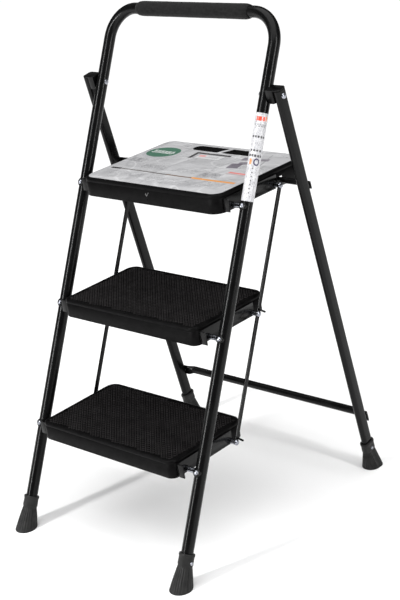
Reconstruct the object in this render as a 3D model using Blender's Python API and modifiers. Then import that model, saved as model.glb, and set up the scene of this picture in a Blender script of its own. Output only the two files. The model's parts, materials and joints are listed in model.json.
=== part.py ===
"""Folding three-step ladder with a tall grab rail, modelled open.

Metres, +Z up.  The steps face -Y, the rear legs stand at +Y, and the ladder is
symmetric about the YZ plane.  The origin is on the floor at the middle of the
footprint.  Each moving body hangs from an empty on its own hinge axis.
"""

from math import cos, pi, radians, sin, tan

import bmesh
import bpy
from mathutils import Matrix, Vector

# Driving dimensions -------------------------------------------------------

STEP_RISE = 0.230
RAIL_LEAN = radians(25.7)
LEG_LEAN = radians(10.1)
FOOT_SPREAD = 0.5636
RAIL_X = 0.2245
LEG_X = 0.2616
TOP_BAR_HEIGHT = 0.9965

RAIL_RADIUS = 0.01185
TUBE_WALL = 0.0012
BEND_RADIUS = 0.063
FRONT_TUBE_START = 0.012
REAR_TUBE_START = 0.008
LEG_RADIUS = 0.007
LEG_FLAT = 0.006
LEG_DEPTH = LEG_RADIUS + LEG_FLAT
LEG_ABOVE_PIVOT = 0.0115
CAP_THICKNESS = 0.0012
PLUG_DEPTH = 0.005
PLATE_THICKNESS = 0.002

PIVOT_DROP = 0.0288
STEP_HALF_WIDTH = 0.186
STEP_SKIRT = 0.0378
STEP_FRONT = -0.036
STEP_REAR = 0.172
STEP_WALL = 0.003
STEP_EDGE = 0.0045
FRONT_CORNER = 0.016
PLATFORM_CORNER = 0.026
REAR_CORNER = 0.022
PLATFORM_HALF_WIDTH = 0.189
PLATFORM_SKIRT = 0.0385
PLATFORM_FRONT = -0.041
PLATFORM_REAR = 0.2303

BRACKET_THICKNESS = 0.002
BRACKET_FRONT = -0.025
BRACKET_REAR = 0.1315
BRACKET_LOW = -0.0065
BRACKET_HIGH = 0.020
BRACKET_FLANGE_X = 0.204

LINK_BACK = 0.1258
LINK_X = 0.2032
LINK_THICKNESS = 0.003
LINK_HALF_WIDTH = 0.0045
LINK_END_RADIUS = 0.0055
TAB_RADIUS = 0.0021
TAB_REACH = 0.2185

UPPER_BAR_RADIUS = 0.006
UPPER_BAR_DOWN = 0.1971
LOWER_BAR_RADIUS = 0.0083
LOWER_BAR_DOWN = 0.7484
BAR_FLAT_RADIUS = 0.0019
BAR_HALF_LENGTH = 0.2672

GRIP_HALF_LENGTH = 0.152
GRIP_RADIUS = 0.0158
SHEET_THICKNESS = 0.0006
SHEET_MARGIN_FRONT = 0.0075
SHEET_MARGIN = 0.0055

PIN_RADIUS = 0.003
HEAD_RADIUS = 0.0062
HEAD_HEIGHT = 0.0040
COLLAR_RADIUS = 0.0055
BOSS_RADIUS = 0.0087
BOSS_FACE = 0.0142
BOLT_RADIUS = 0.0022
BOLT_HEAD_RADIUS = 0.0050
BOLT_HEAD_HEIGHT = 0.0036
SCREW_RADIUS = 0.0018
SCREW_HEAD_RADIUS = 0.0036
GAP = 0.0003
HOLE_GAP = 0.0004
SIDES = 24
PIN_SIDES = 12
BAR_SIDES = 16

BOOT_WALL = 0.0024
BOOT_COLLAR = 0.0040
FRONT_BOOT_LENGTH = 0.069
FRONT_BOOT_BASE = 0.0235
FRONT_SCREW_UP = 0.0525
REAR_BOOT_LENGTH = 0.064
REAR_BOOT_BASE = 0.0200
REAR_BOOT_BASE_FLAT = 0.0035
REAR_SCREW_UP = 0.0490

SLOT_HALF_LENGTH = 0.040
SLOT_HALF_DEPTH = 0.0135
SLOT_CENTRE_X = 0.0465
SLOT_FROM_REAR = 0.0305
SLOT_SLANT = 0.006

# Worked out from the driving dimensions -----------------------------------

FRONT_FOOT = Vector((0, -FOOT_SPREAD / 2, 0))
REAR_FOOT = Vector((0, FOOT_SPREAD / 2, 0))
SIDE = Vector((1, 0, 0))
LEVEL = Vector((0, 1, 0))
RAIL_UP = Vector((0, sin(RAIL_LEAN), cos(RAIL_LEAN)))
RAIL_BACK = Vector((0, cos(RAIL_LEAN), -sin(RAIL_LEAN)))
LEG_UP = Vector((0, -sin(LEG_LEAN), cos(LEG_LEAN)))
LEG_BACK = Vector((0, cos(LEG_LEAN), sin(LEG_LEAN)))
RAIL_INNER = RAIL_X - RAIL_RADIUS
RAIL_OUTER = RAIL_X + RAIL_RADIUS
LEG_INNER = LEG_X - LEG_RADIUS
LEG_OUTER = LEG_X + LEG_RADIUS


def rail_at(height):
    """Point on the rail line, in the YZ plane, at a height."""
    return FRONT_FOOT + RAIL_UP * (height / RAIL_UP.z)


APEX = rail_at(FOOT_SPREAD / (tan(RAIL_LEAN) + tan(LEG_LEAN)))
LOWER_PIVOT = rail_at(STEP_RISE - PIVOT_DROP)
MIDDLE_PIVOT = rail_at(2 * STEP_RISE - PIVOT_DROP)
PLATFORM_PIVOT = rail_at(3 * STEP_RISE - PIVOT_DROP)
LINK_OFFSET = LEVEL * LINK_BACK


def bar_centre(down, radius):
    """Centre of a crossbar that lies on the rear faces of the legs."""
    return APEX - LEG_UP * down + LEG_BACK * (LEG_DEPTH + GAP + radius)


# Scene, materials and mesh helpers ------------------------------------------

for old in list(bpy.data.objects):
    bpy.data.objects.remove(old, do_unlink=True)


def new_collection(name):
    collection = bpy.data.collections.new(name)
    bpy.context.scene.collection.children.link(collection)
    return collection


PARTS = new_collection("three_step_ladder")
CUTTERS = new_collection("cutters")

# base colour, roughness, metallic
FINISHES = {
    "black_paint": ((0.012, 0.012, 0.013), 0.22, 0.0),
    "bright_steel": ((0.72, 0.72, 0.74), 0.25, 1.0),
    "step_plastic": ((0.030, 0.030, 0.031), 0.45, 0.0),
    "foam": ((0.010, 0.010, 0.010), 0.85, 0.0),
    "boot_rubber": ((0.016, 0.016, 0.016), 0.60, 0.0),
    "film": ((0.70, 0.70, 0.70), 0.35, 0.0),
    "label": ((0.85, 0.85, 0.84), 0.40, 0.0),
}


def make_material(name, finish):
    colour, roughness, metallic = FINISHES[finish]
    material = bpy.data.materials.new(name)
    material.use_nodes = True
    shader = material.node_tree.nodes["Principled BSDF"]
    shader.inputs["Base Color"].default_value = (*colour, 1)
    shader.inputs["Roughness"].default_value = roughness
    shader.inputs["Metallic"].default_value = metallic
    return material


def add_object(name, mesh, finish):
    """Part in the parts collection, with a material of its own."""
    obj = bpy.data.objects.new(name, mesh)
    PARTS.objects.link(obj)
    mesh.materials.clear()
    mesh.materials.append(make_material(name, finish))
    mesh.set_sharp_from_angle(angle=radians(35))
    return obj


def cut(obj, mesh, operation="DIFFERENCE"):
    """Boolean with a tool that stays in the cutters collection."""
    tool = bpy.data.objects.new("cutter", mesh)
    CUTTERS.objects.link(tool)
    tool.hide_render = True
    tool.display_type = "WIRE"
    modifier = obj.modifiers.new(operation.lower(), "BOOLEAN")
    modifier.operation = operation
    modifier.solver = "EXACT"
    modifier.object = tool


def add_wall(obj, thickness):
    """Gives an open surface its wall on the inner side."""
    modifier = obj.modifiers.new("wall", "SOLIDIFY")
    modifier.thickness = thickness
    modifier.offset = -1
    modifier.use_even_offset = True


def rod_mesh(start, end, radius):
    """Solid rod from one point to another."""
    turn = (end - start).to_track_quat("Z", "Y").to_matrix().to_4x4()
    mesh = bpy.data.meshes.new("rod")
    work = bmesh.new()
    bmesh.ops.create_cone(
        work,
        cap_ends=True,
        segments=PIN_SIDES,
        radius1=radius,
        radius2=radius,
        depth=(end - start).length,
        matrix=Matrix.Translation((start + end) / 2) @ turn,
    )
    work.to_mesh(mesh)
    work.free()
    return mesh


def cross_rod(point, side, inner, outer, radius):
    """Rod along X on one side, through a point of the side view."""
    start = Vector((side * inner, point.y, point.z))
    end = Vector((side * outer, point.y, point.z))
    return rod_mesh(start, end, radius)


def loft_mesh(rings, cap_start=True, cap_end=True):
    """Skin through rings that have the same number of points."""
    mesh = bpy.data.meshes.new("loft")
    work = bmesh.new()
    loops = [[work.verts.new(point) for point in points] for points in rings]
    count = len(rings[0])
    for lower, upper in zip(loops, loops[1:]):
        for index in range(count):
            after = (index + 1) % count
            work.faces.new((lower[index], lower[after], upper[after], upper[index]))
    if cap_start:
        work.faces.new(loops[0][::-1])
    if cap_end:
        work.faces.new(loops[-1])
    for face in work.faces:
        face.smooth = True
    bmesh.ops.recalc_face_normals(work, faces=work.faces)
    work.to_mesh(mesh)
    work.free()
    return mesh


def stadium(radius, flat, count=SIDES):
    """Outline with round ends, long in its second direction; a circle if flat is 0."""
    points = []
    for index in range(count):
        angle = 2 * pi * (index + 0.5) / count
        shift = flat if sin(angle) > 0 else -flat
        points.append((radius * cos(angle), radius * sin(angle) + shift))
    return points


def ring(centre, across, along, outline):
    """Outline placed in space on two directions."""
    return [centre + across * first + along * second for first, second in outline]


def tube_rings(foot, up, back, low, high, outline):
    """Two rings square to a tube, at two distances along it."""
    return [ring(foot + up * along, SIDE, back, outline) for along in (low, high)]


def rounded_outline(half_width, front, rear, front_radius, rear_radius):
    """Rectangle with round corners as XY pairs, anticlockwise from above."""
    corners = (
        (half_width - front_radius, front + front_radius, front_radius, -90),
        (half_width - rear_radius, rear - rear_radius, rear_radius, 0),
        (-half_width + rear_radius, rear - rear_radius, rear_radius, 90),
        (-half_width + front_radius, front + front_radius, front_radius, 180),
    )
    points = []
    for x, y, radius, begin in corners:
        for index in range(7):
            angle = radians(begin + 15 * index)
            points.append((x + radius * cos(angle), y + radius * sin(angle)))
    return points


def prism_mesh(points, low, high):
    """Upright prism over XY pairs."""
    return loft_mesh([[Vector((x, y, z)) for x, y in points] for z in (low, high)])


def side_prism_mesh(points, low_x, high_x):
    """Prism along X over YZ pairs."""
    return loft_mesh([[Vector((x, y, z)) for y, z in points] for x in (low_x, high_x)])


def turned(name, profile, finish, start, towards, closed=False, steps=PIN_SIDES):
    """Round part from (radius, distance) pairs, listed from the far end back."""
    mesh = bpy.data.meshes.new(name)
    work = bmesh.new()
    verts = [work.verts.new((radius, 0, distance)) for radius, distance in profile]
    for first, second in zip(verts, verts[1:]):
        work.edges.new((first, second))
    if closed:
        work.edges.new((verts[-1], verts[0]))
    work.to_mesh(mesh)
    work.free()
    obj = add_object(name, mesh, finish)
    screw = obj.modifiers.new("turn", "SCREW")
    screw.steps = steps
    screw.render_steps = steps
    screw.use_merge_vertices = True
    screw.merge_threshold = 0.00001
    obj.rotation_euler = towards.to_track_quat("Z", "Y").to_euler()
    obj.location = start
    return obj


def sides():
    return (("left", -1), ("right", 1))


def body_empty(name, location, parent=None):
    """Empty on a hinge axis, for a body's parts to hang from."""
    empty = bpy.data.objects.new(name, None)
    PARTS.objects.link(empty)
    empty.empty_display_size = 0.03
    empty.location = location
    bpy.context.view_layer.update()
    if parent:
        hang(parent, [empty])
    return empty


def hang(empty, parts):
    for part in parts:
        part.parent = empty
        part.matrix_parent_inverse = empty.matrix_world.inverted()


# Rivets and pins -------------------------------------------------------------


def dome(base, radius, height):
    """Profile of a domed head above a base, from its crown down."""
    return [
        (0, base + height),
        (radius * 0.45, base + height * 0.92),
        (radius * 0.80, base + height * 0.62),
        (radius * 0.97, base + height * 0.25),
        (radius, base),
    ]


def rivet_profile(inner_face, outer_face, shoulder=None):
    """Rivet between two faces, given as distances from the centre plane."""
    profile = dome(outer_face + GAP, HEAD_RADIUS, HEAD_HEIGHT)
    profile.append((PIN_RADIUS, outer_face + GAP))
    if shoulder:
        profile.append((PIN_RADIUS, shoulder[1]))
        profile.append((COLLAR_RADIUS, shoulder[1]))
        profile.append((COLLAR_RADIUS, shoulder[0]))
        profile.append((PIN_RADIUS, shoulder[0]))
    profile.append((PIN_RADIUS, inner_face - GAP))
    profile.append((COLLAR_RADIUS, inner_face - GAP))
    profile.append((COLLAR_RADIUS * 0.8, inner_face - GAP - 0.0018))
    profile.append((0, inner_face - GAP - 0.0022))
    return profile


def cross_rivet(name, point, side, inner_face, outer_face, shoulder=None):
    """Rivet along X with its domed head outermost."""
    profile = rivet_profile(inner_face, outer_face, shoulder)
    return turned(name, profile, "bright_steel", point, SIDE * side)


def make_pivot_pin(name, point, side, half_width):
    """Collared pin from inside a step's skirt, through its bracket, into the rail."""
    inner_face = half_width - STEP_WALL
    near = half_width + GAP + BRACKET_THICKNESS + GAP
    far = RAIL_INNER - GAP
    profile = [
        (0, RAIL_X + 0.004),
        (PIN_RADIUS, RAIL_X + 0.004),
        (PIN_RADIUS, far),
        (COLLAR_RADIUS, far),
        (COLLAR_RADIUS, near),
        (PIN_RADIUS, near),
        (PIN_RADIUS, inner_face - GAP),
        (COLLAR_RADIUS, inner_face - GAP),
        (COLLAR_RADIUS * 0.8, inner_face - GAP - 0.0018),
        (0, inner_face - GAP - 0.0022),
    ]
    return turned(name, profile, "bright_steel", point, SIDE * side)


def make_front_bolt(name, point, side):
    """Domed bolt through the rail's front boss that holds a pivot pin."""
    profile = [
        (0, BOSS_FACE + GAP + BOLT_HEAD_HEIGHT),
        (BOLT_HEAD_RADIUS * 0.45, BOSS_FACE + GAP + BOLT_HEAD_HEIGHT * 0.92),
        (BOLT_HEAD_RADIUS * 0.80, BOSS_FACE + GAP + BOLT_HEAD_HEIGHT * 0.62),
        (BOLT_HEAD_RADIUS, BOSS_FACE + GAP),
        (BOLT_RADIUS, BOSS_FACE + GAP),
        (BOLT_RADIUS, PIN_RADIUS + GAP),
        (0, PIN_RADIUS + GAP),
    ]
    start = point + SIDE * (side * RAIL_X)
    return turned(name, profile, "bright_steel", start, -RAIL_BACK)


# Front frame ----------------------------------------------------------------


def frame_path():
    """Centre line of the bent tube, from the left foot round to the right one."""
    top = TOP_BAR_HEIGHT / RAIL_UP.z - BEND_RADIUS
    inner = RAIL_X - BEND_RADIUS
    pairs = [(-RAIL_X, FRONT_TUBE_START)]
    for index in range(9):
        angle = pi - radians(11.25 * index)
        pairs.append((-inner + BEND_RADIUS * cos(angle), top + BEND_RADIUS * sin(angle)))
    pairs.extend([(-x, along) for x, along in reversed(pairs)])
    return [FRONT_FOOT + SIDE * x + RAIL_UP * along for x, along in pairs]


def bent_tube_mesh(path, radius):
    """Open-ended tube surface along a path, taken from a bevelled curve."""
    curve = bpy.data.curves.new("path", "CURVE")
    curve.dimensions = "3D"
    curve.bevel_depth = radius
    curve.bevel_resolution = (SIDES - 4) // 2
    spline = curve.splines.new("POLY")
    spline.points.add(len(path) - 1)
    for point, position in zip(spline.points, path):
        point.co = (*position, 1)
    holder = bpy.data.objects.new("path", curve)
    CUTTERS.objects.link(holder)
    graph = bpy.context.evaluated_depsgraph_get()
    mesh = bpy.data.meshes.new_from_object(holder.evaluated_get(graph))
    bpy.data.objects.remove(holder, do_unlink=True)
    work = bmesh.new()
    work.from_mesh(mesh)
    bmesh.ops.remove_doubles(work, verts=work.verts, dist=0.00001)
    bmesh.ops.recalc_face_normals(work, faces=work.faces)
    work.to_mesh(mesh)
    work.free()
    return mesh


def make_front_tube():
    tube = add_object("front_frame_tube", bent_tube_mesh(frame_path(), RAIL_RADIUS), "black_paint")
    add_wall(tube, TUBE_WALL)
    hole = PIN_RADIUS + HOLE_GAP
    for _, side in sides():
        for point in (LOWER_PIVOT, MIDDLE_PIVOT, PLATFORM_PIVOT):
            axis = point + SIDE * (side * RAIL_X)
            cut(tube, rod_mesh(axis - RAIL_BACK * 0.0075, axis - RAIL_BACK * BOSS_FACE, BOSS_RADIUS), "UNION")
            cut(tube, rod_mesh(axis - RAIL_BACK * 0.006, axis - RAIL_BACK * 0.02, BOLT_RADIUS + HOLE_GAP))
            cut(tube, cross_rod(point, side, RAIL_INNER - 0.005, RAIL_X, hole))
        cut(tube, cross_rod(APEX, side, RAIL_INNER - 0.005, RAIL_OUTER + 0.005, hole))
        screw_at = FRONT_FOOT + RAIL_UP * FRONT_SCREW_UP
        cut(tube, cross_rod(screw_at, side, RAIL_X, RAIL_OUTER + 0.005, SCREW_RADIUS + HOLE_GAP))
    return tube


def make_grip():
    """Foam sleeve on the top bar, tapered at its ends."""
    bore = RAIL_RADIUS + GAP
    rim = bore + 0.0012
    length = 2 * GRIP_HALF_LENGTH
    profile = [
        (bore, length),
        (rim, length),
        (GRIP_RADIUS - 0.0009, length - 0.006),
        (GRIP_RADIUS, length - 0.013),
        (GRIP_RADIUS, 0.013),
        (GRIP_RADIUS - 0.0009, 0.006),
        (rim, 0),
        (bore, 0),
    ]
    start = rail_at(TOP_BAR_HEIGHT) - SIDE * GRIP_HALF_LENGTH
    return turned("hand_grip", profile, "foam", start, SIDE, closed=True, steps=SIDES)


def make_label():
    """Thin film wrapped round the front of the right rail, below the apex."""
    foot = FRONT_FOOT + SIDE * RAIL_X
    low = 0.670 / RAIL_UP.z
    high = 0.822 / RAIL_UP.z
    inner = RAIL_RADIUS + GAP
    outer = inner + 0.0003
    angles = [radians(-90 - 135 + 15 * index) for index in range(19)]
    outline = [(outer * cos(angle), outer * sin(angle)) for angle in angles]
    outline += [(inner * cos(angle), inner * sin(angle)) for angle in reversed(angles)]
    mesh = loft_mesh(tube_rings(foot, RAIL_UP, RAIL_BACK, low, high, outline))
    return add_object("rail_label", mesh, "label")


# Boots -----------------------------------------------------------------------

# share of the length, share of the flare, extra wall, share of the level direction
BOOT_SHAPE = (
    (0.00, 1.00, 0.0, 1.0),
    (0.07, 1.00, 0.0, 1.0),
    (0.14, 0.84, 0.0, 0.9),
    (0.32, 0.50, 0.0, 0.6),
    (0.52, 0.20, 0.0, 0.3),
    (0.68, 0.00, 0.0, 0.0),
    (0.84, 0.00, 0.0, 0.0),
    (0.87, 0.00, 1.0, 0.0),
    (0.96, 0.00, 1.0, 0.0),
    (1.00, 0.00, 0.0, 0.0),
)


def make_boot(name, foot, up, back, tube, base, length, tube_start, screw_up, side):
    """Socket round a tube's end that flares into a flat, level foot."""
    radius, flat = tube
    base_radius, base_flat = base
    rings = []
    for share, flare, collar, flatness in BOOT_SHAPE:
        along = (back * (1 - flatness) + LEVEL * flatness).normalized()
        wall = BOOT_WALL + collar * (BOOT_COLLAR - BOOT_WALL)
        ring_radius = (radius + wall) * (1 - flare) + base_radius * flare
        ring_flat = flat * (1 - flare) + base_flat * flare
        rings.append(ring(foot + up * (share * length), SIDE, along, stadium(ring_radius, ring_flat)))
    boot = add_object(name, loft_mesh(rings), "boot_rubber")
    bore = stadium(radius + GAP, flat)
    cut(boot, loft_mesh(tube_rings(foot, up, back, tube_start - GAP, length + 0.01, bore)))
    screw_at = foot + up * screw_up
    centre_x = abs(foot.x)
    cut(boot, cross_rod(screw_at, side, centre_x, centre_x + radius + 0.01, SCREW_RADIUS + HOLE_GAP))
    return boot


def make_boot_screw(name, point, side, surface):
    """Self-tapping screw through the boot into the tube."""
    profile = [
        (0, surface + 0.0020),
        (SCREW_HEAD_RADIUS * 0.7, surface + 0.0018),
        (SCREW_HEAD_RADIUS, surface + 0.0009),
        (SCREW_HEAD_RADIUS, surface + GAP),
        (SCREW_RADIUS, surface + GAP),
        (SCREW_RADIUS, surface - 0.0065),
        (0, surface - 0.0080),
    ]
    start = Vector((0, point.y, point.z))
    return turned(name, profile, "bright_steel", start, SIDE * side)


def make_front_boots():
    made = []
    for label, side in sides():
        foot = FRONT_FOOT + SIDE * (side * RAIL_X)
        made.append(
            make_boot(
                f"front_boot_{label}",
                foot,
                RAIL_UP,
                RAIL_BACK,
                (RAIL_RADIUS, 0),
                (FRONT_BOOT_BASE, 0),
                FRONT_BOOT_LENGTH,
                FRONT_TUBE_START,
                FRONT_SCREW_UP,
                side,
            )
        )
        screw_at = foot + RAIL_UP * FRONT_SCREW_UP
        surface = RAIL_X + RAIL_RADIUS + BOOT_WALL
        made.append(make_boot_screw(f"front_boot_screw_{label}", screw_at, side, surface))
    return made


def make_front_frame():
    made = [make_front_tube(), make_grip(), make_label()]
    made += make_front_boots()
    steps = (
        ("platform", PLATFORM_PIVOT, PLATFORM_HALF_WIDTH),
        ("middle", MIDDLE_PIVOT, STEP_HALF_WIDTH),
        ("lower", LOWER_PIVOT, STEP_HALF_WIDTH),
    )
    for label, side in sides():
        made.append(cross_rivet(f"apex_pin_{label}", APEX, side, RAIL_INNER, LEG_OUTER))
        for step, pivot, half_width in steps:
            made.append(make_pivot_pin(f"{step}_pivot_pin_{label}", pivot, side, half_width))
            made.append(make_front_bolt(f"{step}_front_bolt_{label}", pivot, side))
    return made


# Rear frame -------------------------------------------------------------------


def crossbar_holes():
    """Point on the leg line and bar centre for each crossbar."""
    for down, radius in ((UPPER_BAR_DOWN, UPPER_BAR_RADIUS), (LOWER_BAR_DOWN, LOWER_BAR_RADIUS)):
        yield APEX - LEG_UP * down, radius


def make_leg(name, side):
    foot = REAR_FOOT + SIDE * (side * LEG_X)
    top = (APEX - REAR_FOOT).length + LEG_ABOVE_PIVOT
    rings = tube_rings(foot, LEG_UP, LEG_BACK, REAR_TUBE_START, top, stadium(LEG_RADIUS, LEG_FLAT))
    leg = add_object(name, loft_mesh(rings, cap_start=False, cap_end=False), "black_paint")
    add_wall(leg, TUBE_WALL)
    cut(leg, cross_rod(APEX, side, LEG_INNER - 0.005, LEG_OUTER + 0.005, PIN_RADIUS + HOLE_GAP))
    for point, _ in crossbar_holes():
        start = point + SIDE * (side * LEG_X)
        cut(leg, rod_mesh(start, start + LEG_BACK * (LEG_DEPTH + 0.005), PIN_RADIUS + HOLE_GAP))
    screw_at = REAR_FOOT + LEG_UP * REAR_SCREW_UP
    cut(leg, cross_rod(screw_at, side, LEG_X, LEG_OUTER + 0.005, SCREW_RADIUS + HOLE_GAP))
    return leg


def make_leg_cap(name, side):
    """Flat plug in the open top of a rear leg."""
    foot = REAR_FOOT + SIDE * (side * LEG_X)
    top = (APEX - REAR_FOOT).length + LEG_ABOVE_PIVOT
    plug = stadium(LEG_RADIUS - TUBE_WALL - GAP, LEG_FLAT)
    flange = stadium(LEG_RADIUS, LEG_FLAT)
    rings = [
        ring(foot + LEG_UP * (top - PLUG_DEPTH), SIDE, LEG_BACK, plug),
        ring(foot + LEG_UP * (top + GAP), SIDE, LEG_BACK, plug),
        ring(foot + LEG_UP * (top + GAP), SIDE, LEG_BACK, flange),
        ring(foot + LEG_UP * (top + GAP + CAP_THICKNESS), SIDE, LEG_BACK, flange),
    ]
    return add_object(name, loft_mesh(rings), "step_plastic")


def make_hinge_bracket(name, side):
    """Steel channel between rail and leg, with a top plate over the leg's end."""
    inner = RAIL_OUTER + GAP
    outer = LEG_INNER - GAP
    under = LEG_ABOVE_PIVOT + GAP + CAP_THICKNESS + GAP
    high = under + PLATE_THICKNESS
    low = -0.0125
    thick = PLATE_THICKNESS

    def corner(x, along, up):
        return APEX + SIDE * (side * x) + LEG_BACK * along + LEG_UP * up

    def block(outline, up_low, up_high):
        return loft_mesh([[corner(x, along, up) for x, along in outline] for up in (up_low, up_high)])

    plate = [(inner, -LEG_DEPTH)]
    for index in range(13):
        angle = radians(-90 + 15 * index)
        shift = LEG_FLAT if angle > 0 else -LEG_FLAT
        plate.append((LEG_X + LEG_RADIUS * cos(angle), LEG_RADIUS * sin(angle) + shift))
    plate.append((inner, LEG_DEPTH))
    leg_room = (
        (0.2480, -0.020),
        (outer, -0.0085),
        (outer, 0.020),
        (LEG_OUTER + 0.02, 0.020),
        (LEG_OUTER + 0.02, -0.020),
    )
    cavity = (
        (inner + thick, -0.0110),
        (0.2470, -0.0110),
        (outer - thick, -0.0075),
        (outer - thick, 0.020),
        (inner + thick, 0.020),
    )
    bracket = add_object(name, block(plate, low, high), "black_paint")
    cut(bracket, block(leg_room, low - 0.01, under))
    cut(bracket, block(cavity, low - 0.01, under))
    lower_corner = ((inner - 0.004, low - 0.004), (inner + 0.009, low - 0.004), (inner - 0.004, low + 0.009))
    ends = (-LEG_DEPTH - 0.01, LEG_DEPTH + 0.01)
    cut(bracket, loft_mesh([[corner(x, along, up) for x, up in lower_corner] for along in ends]))
    cut(bracket, cross_rod(APEX, side, inner - 0.005, outer + 0.005, PIN_RADIUS + HOLE_GAP))
    return bracket


def make_crossbar(name, point, radius):
    """Tube across the legs with flattened ends that lie on their rear faces."""
    flat = pi / 2 * (radius - BAR_FLAT_RADIUS)
    round_centre = LEG_DEPTH + GAP + radius
    flat_centre = LEG_DEPTH + GAP + BAR_FLAT_RADIUS
    # distance from the centre plane, share of the flattening
    stations = ((BAR_HALF_LENGTH, 1), (0.2540, 1), (0.2480, 0.75), (0.2400, 0.25), (0.2340, 0))
    stations += tuple((-x, share) for x, share in reversed(stations))
    rings = []
    for x, share in stations:
        centre = point + SIDE * x + LEG_BACK * (round_centre + share * (flat_centre - round_centre))
        ring_radius = radius + share * (BAR_FLAT_RADIUS - radius)
        rings.append(ring(centre, LEG_BACK, LEG_UP, stadium(ring_radius, share * flat, BAR_SIDES)))
    bar = add_object(name, loft_mesh(rings, cap_start=False, cap_end=False), "black_paint")
    add_wall(bar, TUBE_WALL)
    for _, side in sides():
        start = point + SIDE * (side * LEG_X) + LEG_BACK * LEG_DEPTH
        cut(bar, rod_mesh(start, start + LEG_BACK * 0.012, PIN_RADIUS + HOLE_GAP))
    return bar


def make_crossbar_rivet(name, point, side):
    """Blind rivet through a crossbar's flat end and the leg's rear wall."""
    outer_face = LEG_DEPTH + GAP + 2 * BAR_FLAT_RADIUS
    profile = dome(outer_face + GAP, HEAD_RADIUS * 0.85, HEAD_HEIGHT * 0.6)
    profile.append((PIN_RADIUS, outer_face + GAP))
    profile.append((PIN_RADIUS, LEG_DEPTH - 0.006))
    profile.append((0, LEG_DEPTH - 0.0065))
    start = point + SIDE * (side * LEG_X)
    return turned(name, profile, "bright_steel", start, LEG_BACK)


def make_rear_frame():
    made = []
    for label, side in sides():
        foot = REAR_FOOT + SIDE * (side * LEG_X)
        made.append(make_leg(f"rear_leg_{label}", side))
        made.append(make_leg_cap(f"rear_leg_cap_{label}", side))
        made.append(make_hinge_bracket(f"hinge_bracket_{label}", side))
        made.append(
            make_boot(
                f"rear_boot_{label}",
                foot,
                LEG_UP,
                LEG_BACK,
                (LEG_RADIUS, LEG_FLAT),
                (REAR_BOOT_BASE, REAR_BOOT_BASE_FLAT),
                REAR_BOOT_LENGTH,
                REAR_TUBE_START,
                REAR_SCREW_UP,
                side,
            )
        )
        screw_at = foot + LEG_UP * REAR_SCREW_UP
        surface = LEG_OUTER + BOOT_WALL
        made.append(make_boot_screw(f"rear_boot_screw_{label}", screw_at, side, surface))
    for height, (point, radius) in zip(("upper", "lower"), crossbar_holes()):
        made.append(make_crossbar(f"{height}_crossbar", point, radius))
        for label, side in sides():
            made.append(make_crossbar_rivet(f"{height}_crossbar_rivet_{label}", point, side))
    return made


# Steps -------------------------------------------------------------------------


def shell_mesh(pivot, half_width, front, rear, corner, skirt):
    """Tray turned upside down, with a rounded upper edge and an open underside."""
    top = PIVOT_DROP
    levels = [(0, top - skirt)]
    for index in range(4):
        angle = radians(30 * index)
        levels.append((STEP_EDGE * (1 - cos(angle)), top - STEP_EDGE + STEP_EDGE * sin(angle)))
    rings = []
    for inset, height in levels:
        outline = rounded_outline(
            half_width - inset,
            front + inset,
            rear - inset,
            corner - inset,
            REAR_CORNER - inset,
        )
        rings.append([pivot + Vector((x, y, height)) for x, y in outline])
    return loft_mesh(rings, cap_start=False)


def make_shell(name, pivot, half_width, front, rear, corner, skirt):
    mesh = shell_mesh(pivot, half_width, front, rear, corner, skirt)
    shell = add_object(name, mesh, "step_plastic")
    add_wall(shell, STEP_WALL)
    for _, side in sides():
        for point in (pivot, pivot + LINK_OFFSET):
            cut(shell, cross_rod(point, side, half_width - 0.008, half_width + 0.003, PIN_RADIUS + HOLE_GAP))
    return shell


def make_side_bracket(name, pivot, side, half_width):
    """Steel strip beside a step with a flange turned outwards at its front."""
    inner = half_width + GAP
    outer = inner + BRACKET_THICKNESS
    outline = (
        (inner, BRACKET_FRONT),
        (BRACKET_FLANGE_X, BRACKET_FRONT),
        (BRACKET_FLANGE_X, BRACKET_FRONT + BRACKET_THICKNESS),
        (outer, BRACKET_FRONT + BRACKET_THICKNESS),
        (outer, BRACKET_REAR),
        (inner, BRACKET_REAR),
    )
    points = [(side * x, pivot.y + y) for x, y in outline]
    mesh = prism_mesh(points, pivot.z + BRACKET_LOW, pivot.z + BRACKET_HIGH)
    bracket = add_object(name, mesh, "black_paint")
    for point in (pivot, pivot + LINK_OFFSET):
        cut(bracket, cross_rod(point, side, inner - 0.003, outer + 0.003, PIN_RADIUS + HOLE_GAP))
    return bracket


def make_step_fittings(step, pivot, half_width):
    """Bracket and link rivet on both sides of a step."""
    made = []
    near = half_width + GAP + BRACKET_THICKNESS + GAP
    shoulder = (near, LINK_X - LINK_THICKNESS / 2 - GAP)
    inner = half_width - STEP_WALL
    outer = LINK_X + LINK_THICKNESS / 2
    for label, side in sides():
        made.append(make_side_bracket(f"{step}_bracket_{label}", pivot, side, half_width))
        name = f"{step}_link_rivet_{label}"
        made.append(cross_rivet(name, pivot + LINK_OFFSET, side, inner, outer, shoulder))
    return made


def make_tread(step, pivot):
    shell = make_shell(
        f"{step}_tread",
        pivot,
        STEP_HALF_WIDTH,
        STEP_FRONT,
        STEP_REAR,
        FRONT_CORNER,
        STEP_SKIRT,
    )
    return [shell] + make_step_fittings(step, pivot, STEP_HALF_WIDTH)


def slot_points(margin):
    """Outlines of the two hand slots, with a slanted strip left between them."""
    centre_y = PLATFORM_REAR - SLOT_FROM_REAR
    depth = SLOT_HALF_DEPTH + margin
    for _, side in sides():
        far = SLOT_CENTRE_X + SLOT_HALF_LENGTH + margin
        near = SLOT_CENTRE_X - SLOT_HALF_LENGTH - margin
        points = [(side * near - SLOT_SLANT, -depth), (side * near + SLOT_SLANT, depth)]
        for index in range(9):
            angle = radians(90 - 22.5 * index)
            points.append((side * (far - depth + depth * cos(angle)), depth * sin(angle)))
        yield [(x, PLATFORM_PIVOT.y + centre_y + y) for x, y in points]


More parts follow.
